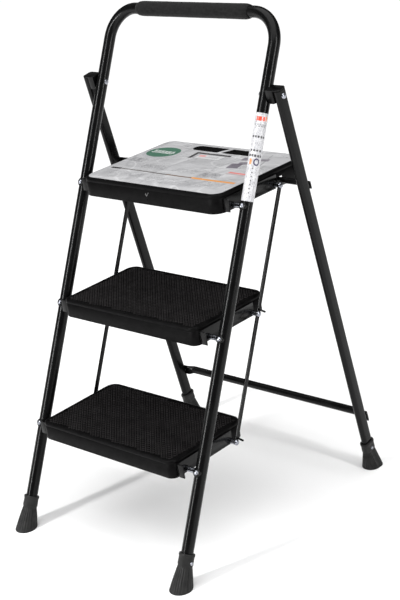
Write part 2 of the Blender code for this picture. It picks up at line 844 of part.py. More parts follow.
def make_cover():
    """Printed film laid over the platform, with the hand slots left open."""
    low = PLATFORM_PIVOT.z + PIVOT_DROP + GAP
    outline = rounded_outline(
        PLATFORM_HALF_WIDTH - SHEET_MARGIN,
        PLATFORM_FRONT + SHEET_MARGIN_FRONT,
        PLATFORM_REAR - SHEET_MARGIN,
        PLATFORM_CORNER - SHEET_MARGIN,
        REAR_CORNER - SHEET_MARGIN,
    )
    points = [(x, PLATFORM_PIVOT.y + y) for x, y in outline]
    cover = add_object("platform_cover", prism_mesh(points, low, low + SHEET_THICKNESS), "film")
    for slot in slot_points(0.0015):
        cut(cover, prism_mesh(slot, low - 0.005, low + 0.005))
    return cover


def make_saddle(name, side):
    """Plastic rest under the platform that sits on the upper crossbar."""
    bar = bar_centre(UPPER_BAR_DOWN, UPPER_BAR_RADIUS)
    seat = bar.z + UPPER_BAR_RADIUS + GAP
    under = PLATFORM_PIVOT.z + PIVOT_DROP - STEP_WALL - GAP
    front = bar.y - 0.008
    lip = bar.y + UPPER_BAR_RADIUS + GAP
    rear = lip + 0.0025
    points = (
        (front, seat),
        (lip, seat),
        (lip, bar.z - 0.003),
        (rear, bar.z - 0.003),
        (rear, under),
        (front, under),
    )
    ends = sorted((side * 0.135, side * 0.165))
    return add_object(name, side_prism_mesh(points, *ends), "step_plastic")


def make_platform():
    step = "platform"
    shell = make_shell(
        "platform_deck",
        PLATFORM_PIVOT,
        PLATFORM_HALF_WIDTH,
        PLATFORM_FRONT,
        PLATFORM_REAR,
        PLATFORM_CORNER,
        PLATFORM_SKIRT,
    )
    top = PLATFORM_PIVOT.z + PIVOT_DROP
    for slot in slot_points(0):
        cut(shell, prism_mesh(slot, top - 0.01, top + 0.01))
    # cutaway that lets the upper crossbar swing out from under the deck
    notch = ((0.1275, -0.0140), (0.1390, 0.0110), (0.1545, 0.0110), (0.1545, -0.0140))
    points = [(PLATFORM_PIVOT.y + y, PLATFORM_PIVOT.z + z) for y, z in notch]
    for _, side in sides():
        ends = sorted((side * (PLATFORM_HALF_WIDTH - 0.006), side * (PLATFORM_HALF_WIDTH + 0.003)))
        cut(shell, side_prism_mesh(points, *ends))
    made = [shell, make_cover()]
    for label, side in sides():
        made.append(make_saddle(f"platform_saddle_{label}", side))
    return made + make_step_fittings(step, PLATFORM_PIVOT, PLATFORM_HALF_WIDTH)


# Link bars -----------------------------------------------------------------------


def make_link(name, side):
    """Flat bar with round ends, a rivet hole at each step and two bent-out tabs."""
    low = LOWER_PIVOT + LINK_OFFSET
    high = PLATFORM_PIVOT + LINK_OFFSET
    length = (high - low).length
    pairs = []
    for along, start in ((length, 0), (0, 180)):
        for index in range(9):
            angle = radians(start + 22.5 * index)
            pairs.append((LINK_END_RADIUS * cos(angle), along + LINK_END_RADIUS * sin(angle)))
        # the bar narrows to its own width a little way from each rounded end
        inwards = -1 if start == 0 else 1
        across = -LINK_HALF_WIDTH if start == 0 else LINK_HALF_WIDTH
        pairs.append((across, along + inwards * 0.006))
        other = 0.006 if start == 0 else length - 0.006
        pairs.append((across, other))
    ends = [side * (LINK_X + offset * LINK_THICKNESS / 2) for offset in (-1, 1)]
    rings = [[low + SIDE * x + RAIL_BACK * back + RAIL_UP * up for back, up in pairs] for x in ends]
    bar = add_object(name, loft_mesh(rings), "black_paint")
    for pivot in (LOWER_PIVOT, MIDDLE_PIVOT):
        root = pivot + LINK_OFFSET + RAIL_BACK * 0.0030 + RAIL_UP * 0.0082
        tip = root + SIDE * (side * TAB_REACH) - RAIL_UP * 0.0018
        cut(bar, rod_mesh(root + SIDE * (side * LINK_X), tip, TAB_RADIUS), "UNION")
    for pivot in (LOWER_PIVOT, MIDDLE_PIVOT, PLATFORM_PIVOT):
        reach = LINK_THICKNESS / 2 + 0.003
        hole = PIN_RADIUS + HOLE_GAP
        cut(bar, cross_rod(pivot + LINK_OFFSET, side, LINK_X - reach, LINK_X + reach, hole))
    return bar


# Assembly ------------------------------------------------------------------------


def build():
    front = body_empty("front_frame_axis", APEX)
    hang(front, make_front_frame())
    rear = body_empty("rear_frame_axis", APEX, front)
    hang(rear, make_rear_frame())
    platform = body_empty("platform_axis", PLATFORM_PIVOT, front)
    hang(platform, make_platform())
    for step, pivot in (("middle", MIDDLE_PIVOT), ("lower", LOWER_PIVOT)):
        axis = body_empty(f"{step}_axis", pivot, front)
        hang(axis, make_tread(step, pivot))
    for label, side in sides():
        at = PLATFORM_PIVOT + LINK_OFFSET + SIDE * (side * LINK_X)
        axis = body_empty(f"link_{label}_axis", at, platform)
        hang(axis, [make_link(f"link_bar_{label}", side)])


build()
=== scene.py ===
"""Looks of the folding three-step ladder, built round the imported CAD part."""

import json
from math import atan2, cos, hypot, pi, radians, sin

import bmesh
import bpy
from mathutils import Matrix, Vector, noise


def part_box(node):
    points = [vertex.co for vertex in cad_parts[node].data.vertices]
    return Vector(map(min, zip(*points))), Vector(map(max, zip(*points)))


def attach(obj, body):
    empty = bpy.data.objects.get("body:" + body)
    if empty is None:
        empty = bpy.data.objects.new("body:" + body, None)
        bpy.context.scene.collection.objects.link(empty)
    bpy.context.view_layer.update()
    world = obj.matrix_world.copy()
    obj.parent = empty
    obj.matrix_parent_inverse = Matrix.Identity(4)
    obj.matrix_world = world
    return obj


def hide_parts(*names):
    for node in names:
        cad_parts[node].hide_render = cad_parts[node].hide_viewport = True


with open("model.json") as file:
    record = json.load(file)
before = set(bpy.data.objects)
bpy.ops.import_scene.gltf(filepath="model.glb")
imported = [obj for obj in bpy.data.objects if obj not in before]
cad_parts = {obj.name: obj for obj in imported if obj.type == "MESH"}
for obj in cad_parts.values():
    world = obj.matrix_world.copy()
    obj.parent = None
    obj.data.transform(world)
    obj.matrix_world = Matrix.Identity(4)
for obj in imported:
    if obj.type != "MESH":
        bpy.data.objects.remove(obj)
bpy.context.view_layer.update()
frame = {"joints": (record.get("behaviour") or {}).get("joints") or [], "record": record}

JOINTS = {joint["name"]: joint for joint in frame["joints"]}
MOUNTS = {mount["name"]: Vector(mount["pos_m"]) for mount in frame["record"]["mounts"]}
APEX = Vector(JOINTS["rear_frame_swing"]["pos_m"])
PIVOTS = {
    "platform": Vector(JOINTS["platform_fold"]["pos_m"]),
    "middle": Vector(JOINTS["middle_tread_fold"]["pos_m"]),
    "lower": Vector(JOINTS["lower_tread_fold"]["pos_m"]),
}
BODIES = {"platform": "platform", "middle": "middle_tread", "lower": "lower_tread"}
SIDE = Vector((1, 0, 0))
LEVEL = Vector((0, 1, 0))
FRONT_FOOT = Vector((0, MOUNTS["front_boot_right_base"].y, 0))
REAR_FOOT = Vector((0, MOUNTS["rear_boot_right_base"].y, 0))
RAIL_X = MOUNTS["front_boot_right_base"].x
LEG_X = MOUNTS["rear_boot_right_base"].x
RAIL_UP = (APEX - FRONT_FOOT).normalized()
RAIL_BACK = RAIL_UP.cross(SIDE)
LEG_UP = (APEX - REAR_FOOT).normalized()
LEG_BACK = LEG_UP.cross(SIDE)
LINK_X = abs(JOINTS["link_right_swing"]["pos_m"][0])
LINK_OFFSET = LEVEL * (JOINTS["link_right_swing"]["pos_m"][1] - PIVOTS["platform"].y)

RAIL_RADIUS = 0.01185
TUBE_WALL = 0.0012
LEG_RADIUS = 0.007
LEG_FLAT = 0.006
LEG_DEPTH = LEG_RADIUS + LEG_FLAT
LEG_START = 0.008
RAIL_INNER = RAIL_X - RAIL_RADIUS
RAIL_OUTER = RAIL_X + RAIL_RADIUS
LEG_INNER = LEG_X - LEG_RADIUS
LEG_OUTER = LEG_X + LEG_RADIUS
PIN_RADIUS = 0.003
HEAD_RADIUS = 0.0061
COLLAR_RADIUS = 0.0054
HOLE_RADIUS = 0.0034
SCREW_HOLE_RADIUS = 0.0022
LINK_HALF = 0.0015
PLATE = 0.002
SKIRT = 0.003
UPPER_BAR_RADIUS = 0.006
LOWER_BAR_RADIUS = 0.0083
GAP = 0.0003
OVERRUN = 0.005
BOTH = (("left", -1), ("right", 1))

# Material building blocks ------------


class Shader:
    """Small wrapper that adds and links nodes of one material."""

    def __init__(self, name, colour, roughness, metallic=0.0, specular=0.5):
        self.material = bpy.data.materials.new(name)
        self.material.use_nodes = True
        self.tree = self.material.node_tree
        self.main = self.tree.nodes["Principled BSDF"]
        self.fill(self.main, Base_Color=(*colour, 1), Roughness=roughness)
        self.fill(self.main, Metallic=metallic, Specular_IOR_Level=specular)
        self.place = self.add("ShaderNodeTexCoord").outputs["Object"]

    def add(self, kind, **settings):
        node = self.tree.nodes.new(kind)
        for name, value in settings.items():
            setattr(node, name, value)
        return node

    def link(self, output, socket):
        self.tree.links.new(output, socket)

    def put(self, socket, value):
        if isinstance(value, (int, float, tuple)):
            socket.default_value = value
        else:
            self.link(value, socket)

    def fill(self, node, **values):
        """Sets or links sockets; an underscore stands for a space in a socket's name."""
        for name, value in values.items():
            self.put(node.inputs[name.replace("_", " ")], value)

    def axes(self):
        split = self.add("ShaderNodeSeparateXYZ")
        self.link(self.place, split.inputs[0])
        return [split.outputs[name] for name in "XYZ"]

    def math(self, operation, first, second=0.0):
        node = self.add("ShaderNodeMath", operation=operation)
        self.put(node.inputs[0], first)
        self.put(node.inputs[1], second)
        return node.outputs[0]

    def apart(self, first, second):
        return self.math("ABSOLUTE", self.math("SUBTRACT", first, second))

    def noise(self, scale, detail=3.0, rough=0.5, stretch=(1, 1, 1), distortion=0.0):
        mapping = self.add("ShaderNodeMapping")
        self.fill(mapping, Scale=stretch, Vector=self.place)
        node = self.add("ShaderNodeTexNoise")
        self.fill(node, Scale=scale, Detail=detail, Roughness=rough, Distortion=distortion)
        self.link(mapping.outputs[0], node.inputs["Vector"])
        return node.outputs["Fac"]

    def cells(self, scale):
        node = self.add("ShaderNodeTexVoronoi")
        self.fill(node, Scale=scale, Vector=self.place)
        return node.outputs["Distance"]

    def spread(self, value, low, high, start=0.3, end=0.7):
        node = self.add("ShaderNodeMapRange")
        self.fill(node, Value=value, From_Min=start, From_Max=end, To_Min=low, To_Max=high)
        return node.outputs[0]

    def mix(self, amount, first, second):
        node = self.add("ShaderNodeMix", data_type="RGBA")
        self.put(node.inputs[0], amount)
        self.put(node.inputs[6], (*first, 1) if isinstance(first, tuple) else first)
        self.put(node.inputs[7], (*second, 1) if isinstance(second, tuple) else second)
        return node.outputs[2]

    def mottle(self, noise, dark, light):
        return self.mix(self.spread(noise, 0, 1), dark, light)

    def bump(self, height, strength, distance, chained=None):
        node = self.add("ShaderNodeBump")
        self.fill(node, Strength=strength, Distance=distance, Height=height)
        if chained:
            self.fill(node, Normal=chained)
        return node.outputs[0]

    def colour(self, output):
        self.link(output, self.main.inputs["Base Color"])

    def rough(self, output):
        self.link(output, self.main.inputs["Roughness"])

    def normal(self, output):
        self.link(output, self.main.inputs["Normal"])


def paint():
    """Black powder coat: faint orange peel, uneven gloss, a little dust."""
    s = Shader("black_powder_coat", (0.003, 0.003, 0.003), 0.24, specular=0.17)
    dust = s.spread(s.noise(35, 5, 0.6), 0.0, 0.5, 0.5, 0.9)
    s.colour(s.mix(dust, (0.0022, 0.0022, 0.0023), (0.008, 0.008, 0.008)))
    s.rough(s.spread(s.noise(22, 4), 0.18, 0.3))
    s.normal(s.bump(s.noise(900, 2), 0.06, 0.0004))
    return s.material


def steel():
    """Bright plated steel with fine turning marks."""
    s = Shader("bright_plated_steel", (0.3, 0.31, 0.34), 0.2, metallic=1.0)
    s.colour(s.mottle(s.noise(300, 4), (0.2, 0.21, 0.24), (0.4, 0.41, 0.45)))
    s.rough(s.spread(s.noise(500, 3), 0.14, 0.34))
    s.normal(s.bump(s.noise(1400, 2, stretch=(0.2, 1, 1)), 0.12, 0.0002))
    return s.material


def plastic(name, dark, light, low, high, grain):
    """Moulded black plastic with a fine spark-eroded grain."""
    s = Shader(name, dark, low, specular=0.05)
    s.colour(s.mottle(s.noise(60, 6, 0.65), dark, light))
    s.rough(s.spread(s.noise(90, 5), low, high))
    fine = s.bump(s.noise(2600, 2), grain, 0.0002)
    s.normal(s.bump(s.noise(14, 2), 0.05, 0.002, fine))
    return s.material


def foam():
    """Matte closed-cell foam."""
    s = Shader("black_foam", (0.008, 0.008, 0.008), 0.9, specular=0.18)
    s.colour(s.mottle(s.noise(120, 6, 0.7), (0.002, 0.002, 0.002), (0.007, 0.007, 0.007)))
    s.rough(s.spread(s.noise(200, 3), 0.75, 0.98))
    pores = s.bump(s.cells(900), 0.5, 0.0004)
    s.normal(s.bump(s.noise(45, 3), 0.2, 0.001, pores))
    s.fill(s.main, Sheen_Weight=0.06)
    return s.material


def rubber():
    """Moulded rubber with a dull bloom."""
    s = Shader("black_rubber", (0.01, 0.01, 0.01), 0.6, specular=0.28)
    s.colour(s.mottle(s.noise(70, 5, 0.6), (0.0035, 0.0035, 0.0035), (0.012, 0.012, 0.0115)))
    s.rough(s.spread(s.noise(110, 4), 0.42, 0.68))
    s.normal(s.bump(s.noise(1300, 3), 0.16, 0.0003))
    return s.material


# A printed mark is (shape, centre, half sizes, turn in degrees, colour, strength).


def printed(s, u, v, base, marks):
    """Adds printed shapes over a base colour, from two flat coordinates."""
    colour = base

    def times(value, factor):
        return s.math("MULTIPLY", value, factor)

    for shape, (cx, cy), (hx, hy), turn, ink, strength in marks:
        level, steep = cos(radians(turn)), sin(radians(turn))
        du = s.math("SUBTRACT", u, cx)
        dv = s.math("SUBTRACT", v, cy)
        along = s.math("ADD", times(du, level), times(dv, steep))
        across = s.math("SUBTRACT", times(dv, level), times(du, steep))
        along = s.math("DIVIDE", s.math("ABSOLUTE", along), hx)
        across = s.math("DIVIDE", s.math("ABSOLUTE", across), hy)
        if shape == "box":
            far = s.math("MAXIMUM", along, across)
        else:
            squares = (s.math("POWER", way, 2.0) for way in (along, across))
            far = s.math("SQRT", s.math("ADD", *squares))
        inside = s.math("LESS_THAN", far, 1.0)
        if shape == "ring":
            inside = times(inside, s.math("GREATER_THAN", far, 0.6))
        colour = s.mix(times(inside, strength), colour, ink)
    return colour


DECK_FRONT = 0.0364
LABEL_TURN_RADIUS = 0.0121
DARK_INK = (0.035, 0.033, 0.035)
GREY_INK = (0.25, 0.25, 0.26)
FAINT_INK = (0.36, 0.36, 0.38)
PURPLE_INK = (0.12, 0.1, 0.13)
GREEN_INK = (0.028, 0.13, 0.075)
ORANGE_INK = (0.72, 0.3, 0.07)
RED_INK = (0.7, 0.13, 0.11)
WHITE_INK = (0.8, 0.8, 0.8)
RED_PRINT = (0.84, 0.05, 0.015)

# x, y, half width, half height, turn, ink, strength
COVER_BOXES = (
    (-0.007, 0.208, 0.047, 0.004, 0, DARK_INK, 0.95),
    (-0.05, 0.193, 0.0042, 0.0185, 6, DARK_INK, 0.95),
    (-0.004, 0.1895, 0.036, 0.0135, 0, GREY_INK, 0.85),
    (-0.004, 0.1895, 0.034, 0.0118, 0, WHITE_INK, 0.55),
    (-0.026, 0.1935, 0.009, 0.0048, 0, RED_INK, 0.55),
    (0.004, 0.193, 0.015, 0.0012, 0, GREY_INK, 0.7),
    (0.002, 0.188, 0.018, 0.0012, 0, GREY_INK, 0.6),
    (-0.053, 0.069, 0.118, 0.0021, 0, (0.1, 0.09, 0.085), 0.95),
    (-0.156, 0.069, 0.014, 0.0036, 0, DARK_INK, 0.98),
    (0.026, 0.069, 0.038, 0.0024, 0, (0.16, 0.1, 0.07), 0.9),
    (0.114, 0.0695, 0.057, 0.0036, 0, ORANGE_INK, 0.98),
    (0.132, 0.1215, 0.022, 0.0032, 0, RED_INK, 0.85),
    (0.132, 0.114, 0.024, 0.0022, 0, (0.36, 0.26, 0.26), 0.7),
    (0.092, 0.159, 0.013, 0.015, 14, PURPLE_INK, 0.85),
    (0.101, 0.179, 0.012, 0.0085, 24, PURPLE_INK, 0.75),
    (0.092, 0.206, 0.016, 0.0095, 12, PURPLE_INK, 0.8),
    (0.126, 0.208, 0.014, 0.007, 16, PURPLE_INK, 0.75),
    (0.14, 0.19, 0.0012, 0.056, 18, GREY_INK, 0.85),
    (0.07, 0.178, 0.001, 0.042, -14, GREY_INK, 0.8),
    (0.16, 0.15, 0.001, 0.03, 8, GREY_INK, 0.7),
    (0.06, 0.133, 0.03, 0.001, 20, GREY_INK, 0.6),
)


def cover_marks():
    """Printing on the platform film: plain shapes only, in platform coordinates."""
    marks = [
        ("oval", (-0.139, 0.184), (0.042, 0.036), 8, FAINT_INK, 0.5),
        ("oval", (-0.134, 0.188), (0.04, 0.032), 8, GREEN_INK, 0.92),
    ]
    for x, y, wide, high, turn, ink, strength in COVER_BOXES:
        marks.append(("box", (x, y), (wide, high), turn, ink, strength))
    for row in range(3):
        for place in range(6):
            x = -0.16 + 0.01 * place + 0.0025 * (row % 2)
            marks.append(("box", (x, 0.1945 - 0.0058 * row), (0.004, 0.0019), 8, WHITE_INK, 0.75))
    return marks


def film():
    """Pale printed film over the platform, with faint sketched shapes and creases; the dark crease
    lines are painted shade and the pale streaks are painted highlights.
    """
    s = Shader("printed_film", (0.55, 0.55, 0.56), 0.34, specular=0.45)
    u, y, _ = s.axes()
    v = s.math("SUBTRACT", y, PIVOTS["platform"].y - DECK_FRONT)
    tone = s.mottle(s.noise(11, 5, 0.65), (0.4, 0.4, 0.41), (0.53, 0.53, 0.54))
    # Thin dark lines along noise creases: painted shade, standing in for the shadow in the film's
    # folds.
    crease = s.apart(s.noise(7, 1.5, 0.4, (1.0, 0.55, 1.0), 1.2), 0.5)
    tone = s.mix(s.spread(crease, 0.45, 0.0, 0.0, 0.02), tone, (0.27, 0.27, 0.28))
    # Thin pale streaks: painted highlight, a painted reflection along the film's folds.
    shine = s.apart(s.noise(9, 1.5, 0.4, (0.6, 1.0, 1.0), 1.4), 0.46)
    tone = s.mix(s.spread(shine, 0.6, 0.0, 0.0, 0.02), tone, (0.66, 0.66, 0.67))
    strokes = s.spread(s.noise(130, 6, 0.8, (1.0, 0.7, 1.0), 2.0), 0.0, 1.0, 0.47, 0.56)
    patches = (
        ((-0.15, 0.128), (0.024, 0.013), 0.75),
        ((-0.074, 0.1), (0.038, 0.014), 0.55),
        ((0.01, 0.1), (0.036, 0.012), 0.45),
        ((0.086, 0.096), (0.028, 0.014), 0.85),
        ((-0.11, 0.045), (0.06, 0.014), 0.35),
        ((0.03, 0.035), (0.075, 0.018), 0.4),
        ((0.128, 0.045), (0.034, 0.02), 0.45),
        ((-0.02, 0.235), (0.11, 0.012), 0.3),
    )
    for (cx, cy), (hx, hy), strength in patches:
        along = s.math("DIVIDE", s.apart(u, cx), hx)
        across = s.math("DIVIDE", s.apart(v, cy), hy)
        inside = s.spread(s.math("MAXIMUM", along, across), 1.0, 0.0, 0.75, 1.0)
        amount = s.math("MULTIPLY", s.math("MULTIPLY", inside, strokes), strength)
        tone = s.mix(amount, tone, (0.14, 0.14, 0.15))
    s.colour(printed(s, u, v, tone, cover_marks()))
    s.rough(s.spread(s.noise(18, 3), 0.22, 0.4))
    s.normal(s.bump(s.noise(14, 3, 0.5, distortion=1.2), 0.45, 0.006))
    return s.material


def label_marks(high):
    """Printing on the rail label: plain shapes, by distance round it and down from its top."""
    marks = []

    def mark(shape, x, down, wide, tall, ink, strength):
        marks.append((shape, (x, high - down), (wide, tall), 0, ink, strength))

    def band(down, tall, places, ink, strength, wide=0.0017):
        for place in places:
            mark("box", place, down, wide, tall, ink, strength)

    mark("box", 0.004, 0.0112, 0.0054, 0.0042, RED_PRINT, 0.95)
    mark("oval", 0.0136, 0.0112, 0.0026, 0.0046, RED_PRINT, 0.95)
    mark("oval", 0.019, 0.01, 0.0017, 0.005, (0.85, 0.2, 0.05), 0.9)
    band(0.0225, 0.0016, (-0.0015, 0.0035, 0.0085, 0.0135, 0.0185), GREY_INK, 0.9)
    band(0.0258, 0.001, (0.001, 0.0065, 0.0125, 0.0175), DARK_INK, 0.7)
    band(0.0455, 0.0021, (-0.002, 0.0035, 0.009, 0.0145, 0.0195), DARK_INK, 0.95, 0.0019)
    band(0.0717, 0.0019, (-0.001, 0.005, 0.011, 0.017), DARK_INK, 0.9, 0.0021)
    band(0.0818, 0.0022, (-0.0025, 0.003, 0.0085, 0.0145, 0.02), DARK_INK, 0.95, 0.0021)
    for row in range(5):
        down = 0.0305 + 0.0027 * row
        for place in range(4):
            x = -0.001 + 0.006 * place + 0.0015 * (row % 2)
            mark("box", x, down, 0.0016, 0.0006, FAINT_INK, 0.65)
            mark("box", x, down + 0.0235, 0.0018, 0.0006, FAINT_INK, 0.75)
    mark("oval", 0.0015, 0.0936, 0.0026, 0.0062, (0.6, 0.17, 0.01), 0.95)
    mark("ring", 0.013, 0.0936, 0.0062, 0.0072, (0.03, 0.02, 0.07), 0.95)
    for row in range(7):
        down = 0.106 + 0.0078 * row
        mark("oval", 0.0078, down, 0.0013, 0.0016, DARK_INK, 0.85)
        mark("oval", 0.0165, down + 0.003, 0.0011, 0.0012, GREY_INK, 0.7)
        mark("box", 0.001, down + 0.002, 0.0016, 0.0008, FAINT_INK, 0.8)
    return marks


def label_paint(high):
    """White film with printed marks, by angle round the rail and distance up it."""
    s = Shader("printed_label", (0.8, 0.8, 0.8), 0.35, specular=0.5)
    x, y, z = s.axes()
    dx = s.math("SUBTRACT", x, RAIL_X)
    dy = s.math("SUBTRACT", y, FRONT_FOOT.y)
    up, back = (
        s.math("ADD", s.math("MULTIPLY", dy, way.y), s.math("MULTIPLY", z, way.z))
        for way in (RAIL_UP, RAIL_BACK)
    )
    angle = s.math("ARCTAN2", dx, s.math("MULTIPLY", back, -1.0))
    turn = s.math("MULTIPLY", angle, LABEL_TURN_RADIUS)
    tone = s.mottle(s.noise(60, 5, 0.6), (0.46, 0.46, 0.48), (0.66, 0.66, 0.67))
    fleck = s.spread(s.noise(330, 5, 0.8), 0.0, 0.8, 0.52, 0.6)
    tone = s.mix(fleck, tone, (0.2, 0.2, 0.22))
    s.colour(printed(s, turn, up, tone, label_marks(high)))
    s.rough(s.spread(s.noise(40, 3), 0.28, 0.42))
    s.normal(s.bump(s.noise(160, 2), 0.06, 0.0006))
    return s.material


# Mesh helpers ------------


def stadium(radius, flat, count=48):
    """Outline of a circle parted by a flat stretch, twice that half length."""
    points = []
    for index in range(count):
        angle = 2 * pi * (index + 0.5) / count
        shift = flat if sin(angle) > 0 else -flat
        points.append((radius * cos(angle), radius * sin(angle) + shift))
    return points


def ring(centre, across, along, outline):
    return [centre + across * first + along * second for first, second in outline]


def loft(rings, cap_start=True, cap_end=True, closed=False):
    """Mesh skinned through rings that have the same number of points."""
    mesh = bpy.data.meshes.new("loft")
    work = bmesh.new()
    loops = [[work.verts.new(point) for point in points] for points in rings]
    pairs = list(zip(loops, loops[1:]))
    if closed:
        pairs.append((loops[-1], loops[0]))
    count = len(rings[0])
    for lower, upper in pairs:
        for index in range(count):
            after = (index + 1) % count
            work.faces.new((lower[index], lower[after], upper[after], upper[index]))
    if cap_start and not closed:
        work.faces.new(loops[0][::-1])
    if cap_end and not closed:
        work.faces.new(loops[-1])
    bmesh.ops.recalc_face_normals(work, faces=work.faces)
    work.to_mesh(mesh)
    work.free()
    return mesh


def plain_mesh(name, verts, faces):
    mesh = bpy.data.meshes.new(name)
    mesh.from_pydata(verts, [], faces)
    return mesh


def lathe(profile, start, towards, sides=36, closed=False):
    """Round mesh from (radius, distance) pairs."""
    turn = towards.to_track_quat("Z", "Y").to_matrix()
    across = turn @ Vector((1, 0, 0))
    along = turn @ Vector((0, 1, 0))
    circle = [(cos(2 * pi * i / sides), sin(2 * pi * i / sides)) for i in range(sides)]
    rings = []
    for radius, distance in profile:
        radius = max(radius, 0.00002)
        outline = [(radius * x, radius * y) for x, y in circle]
        rings.append(ring(start + towards * distance, across, along, outline))
    return loft(rings, closed=closed)


def rod(start, end, radius, sides=24):
    way = end - start
    return lathe([(radius, 0), (radius, way.length)], start, way.normalized(), sides)


def cut(mesh):
    return ("DIFFERENCE", mesh)


def drill(point, side, inner, outer, radius=HOLE_RADIUS):
    """Cut through a point's line across the ladder, between two distances from its middle."""
    ends = [Vector((side * x, point.y, point.z)) for x in (inner, outer)]
    return cut(rod(*ends, radius))


def rounded_outline(half_width, front, rear, front_radius, rear_radius, steps=12):
    corners = (
        (half_width - front_radius, front + front_radius, front_radius, -90),
        (half_width - rear_radius, rear - rear_radius, rear_radius, 0),
        (-half_width + rear_radius, rear - rear_radius, rear_radius, 90),
        (-half_width + front_radius, front + front_radius, front_radius, 180),
    )
    points = []
    for x, y, radius, begin in corners:
        for index in range(steps + 1):
            angle = radians(begin + 90 * index / steps)
            points.append((x + radius * cos(angle), y + radius * sin(angle)))
    return points


def prism(points, low, high):
    return loft([[Vector((x, y, z)) for x, y in points] for z in (low, high)])


def side_prism(points, low_x, high_x):
    return loft([[Vector((x, y, z)) for y, z in points] for x in (low_x, high_x)])


def piece(name, mesh, material, tools=(), bevel=0.0, wall=0.0, sharp=38):
    """Object with its cuts and rounded edges worked into the mesh."""
    obj = bpy.data.objects.new(name, mesh)
    bpy.context.scene.collection.objects.link(obj)
    helpers = []
    if wall:
        solid = obj.modifiers.new("wall", "SOLIDIFY")
        solid.thickness = wall
        solid.offset = -1
        solid.use_even_offset = True
    for operation, tool in tools:
        helper = bpy.data.objects.new("tool", tool)
        bpy.context.scene.collection.objects.link(helper)
        helpers.append(helper)
        modifier = obj.modifiers.new("cut", "BOOLEAN")
        modifier.operation = operation
        modifier.solver = "EXACT"
        modifier.object = helper
    if bevel:
        rounding = obj.modifiers.new("edge", "BEVEL")
        rounding.width = bevel
        rounding.segments = 2
        rounding.limit_method = "ANGLE"
        rounding.angle_limit = radians(40)
    if obj.modifiers:
        graph = bpy.context.evaluated_depsgraph_get()
        made = bpy.data.meshes.new_from_object(obj.evaluated_get(graph))
        obj.modifiers.clear()
        obj.data = made
    for helper in helpers:
        bpy.data.objects.remove(helper, do_unlink=True)
    obj.data.name = name
    obj.data.shade_smooth()
    obj.data.set_sharp_from_angle(angle=radians(sharp))
    obj.data.materials.clear()
    obj.data.materials.append(material)
    return obj


def settle(obj, body, node=None):
    """Rides on a body, and may stand for a CAD node."""
    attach(obj, body)
    if node:
        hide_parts(node)
    return obj


def stand_in(node, mesh, material, body, slot, tools=(), **finish):
    """Makes the look piece of one CAD node."""
    obj = piece(node + "_look", mesh, material, tools, **finish)
    return settle(obj, body, node)


BLACK = paint()
STEEL = steel()
TREAD_TONES = (0.0014, 0.0013, 0.0014), (0.0034, 0.0032, 0.0034)
# The grip ridges' plastic is lighter than the tread's: painted highlight, standing in for the light
# the raised ridges catch.
RIDGE_HIGHLIGHT_TONES = (0.014, 0.0128, 0.0132), (0.03, 0.028, 0.0285)
TREAD = plastic("tread_plastic", *TREAD_TONES, 0.36, 0.52, 0.22)
RIDGE_HIGHLIGHT = plastic("painted_highlight_ridge_plastic", *RIDGE_HIGHLIGHT_TONES, 0.3, 0.45, 0.25)
CAP = plastic("cap_plastic", (0.003, 0.003, 0.003), (0.008, 0.008, 0.008), 0.35, 0.5, 0.15)
FOAM = foam()
RUBBER = rubber()
FILM = film()

# Rivets ------------


def dome(base, radius, height):
    shares = (0.0, 0.3, 0.55, 0.76, 0.9, 0.98, 1.0)
    ups = (1.0, 0.97, 0.87, 0.7, 0.48, 0.22, 0.0)
    return [(radius * share, base + height * up) for share, up in zip(shares, ups)]


def closed_end(face):
    """Flattened tail of a pin, just inside a face."""
    steps = ((1, 0), (0.85, 0.0014), (0.35, 0.002), (0, 0.0021))
    tail = [(COLLAR_RADIUS * share, face - GAP - down) for share, down in steps]
    return [(PIN_RADIUS, face - GAP), *tail]


def rivet(inner_face, outer_face, shoulder=None):
    profile = dome(outer_face + GAP, HEAD_RADIUS, 0.0038)
    profile.append((PIN_RADIUS, outer_face + GAP))
    if shoulder:
        near, far = shoulder
        profile += [(PIN_RADIUS, far), (COLLAR_RADIUS, far)]
        profile += [(COLLAR_RADIUS, near), (PIN_RADIUS, near)]
    return profile + closed_end(inner_face)


def cross_piece(name, body, point, side, profile):
    """Steel piece turned about a point's line across the ladder."""
    mesh = lathe(profile, Vector((0, point.y, point.z)), SIDE * side)
    stand_in(name, mesh, STEEL, body, "bright_steel")


def screw_head(base, radius):
    steps = ((0, 0.0019), (0.55, 0.0018), (0.9, 0.0013), (1, 0.0007), (1, GAP))
    return [(radius * share, base + up) for share, up in steps]


# Front frame ------------

BEND_RADIUS = 0.063
TUBE_START = 0.012
BOSS_FACE = 0.0142
BOSS_SIDE = ((0.0086, 0.007), (0.0086, 0.0122), (0.0083, 0.0132), (0.0076, 0.0139))
BOSS_PROFILE = (*BOSS_SIDE, (0.0066, BOSS_FACE))
BOLT_RADIUS = 0.0022
BOLT_HEAD = (0.0049, 0.0035)
GRIP_SLACK = 0.00025
LABEL_LOW = 0.67
LABEL_HIGH = 0.822
GRIP_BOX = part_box("hand_grip")
TOP_BAR = FRONT_FOOT + RAIL_UP * ((GRIP_BOX[0].z + GRIP_BOX[1].z) / 2 / RAIL_UP.z)


def frame_path():
    """Centre line of the bent tube, as pairs of sideways place and height along the rails."""
    top = (TOP_BAR - FRONT_FOOT).length - BEND_RADIUS
    inner = RAIL_X - BEND_RADIUS
    pairs = [(-RAIL_X, TUBE_START), (-RAIL_X, 0.3), (-RAIL_X, 0.6)]
    for index in range(21):
        angle = pi - radians(4.5 * index)
        pairs.append((-inner + BEND_RADIUS * cos(angle), top + BEND_RADIUS * sin(angle)))
    pairs.extend([(-x, along) for x, along in reversed(pairs)])
    return pairs


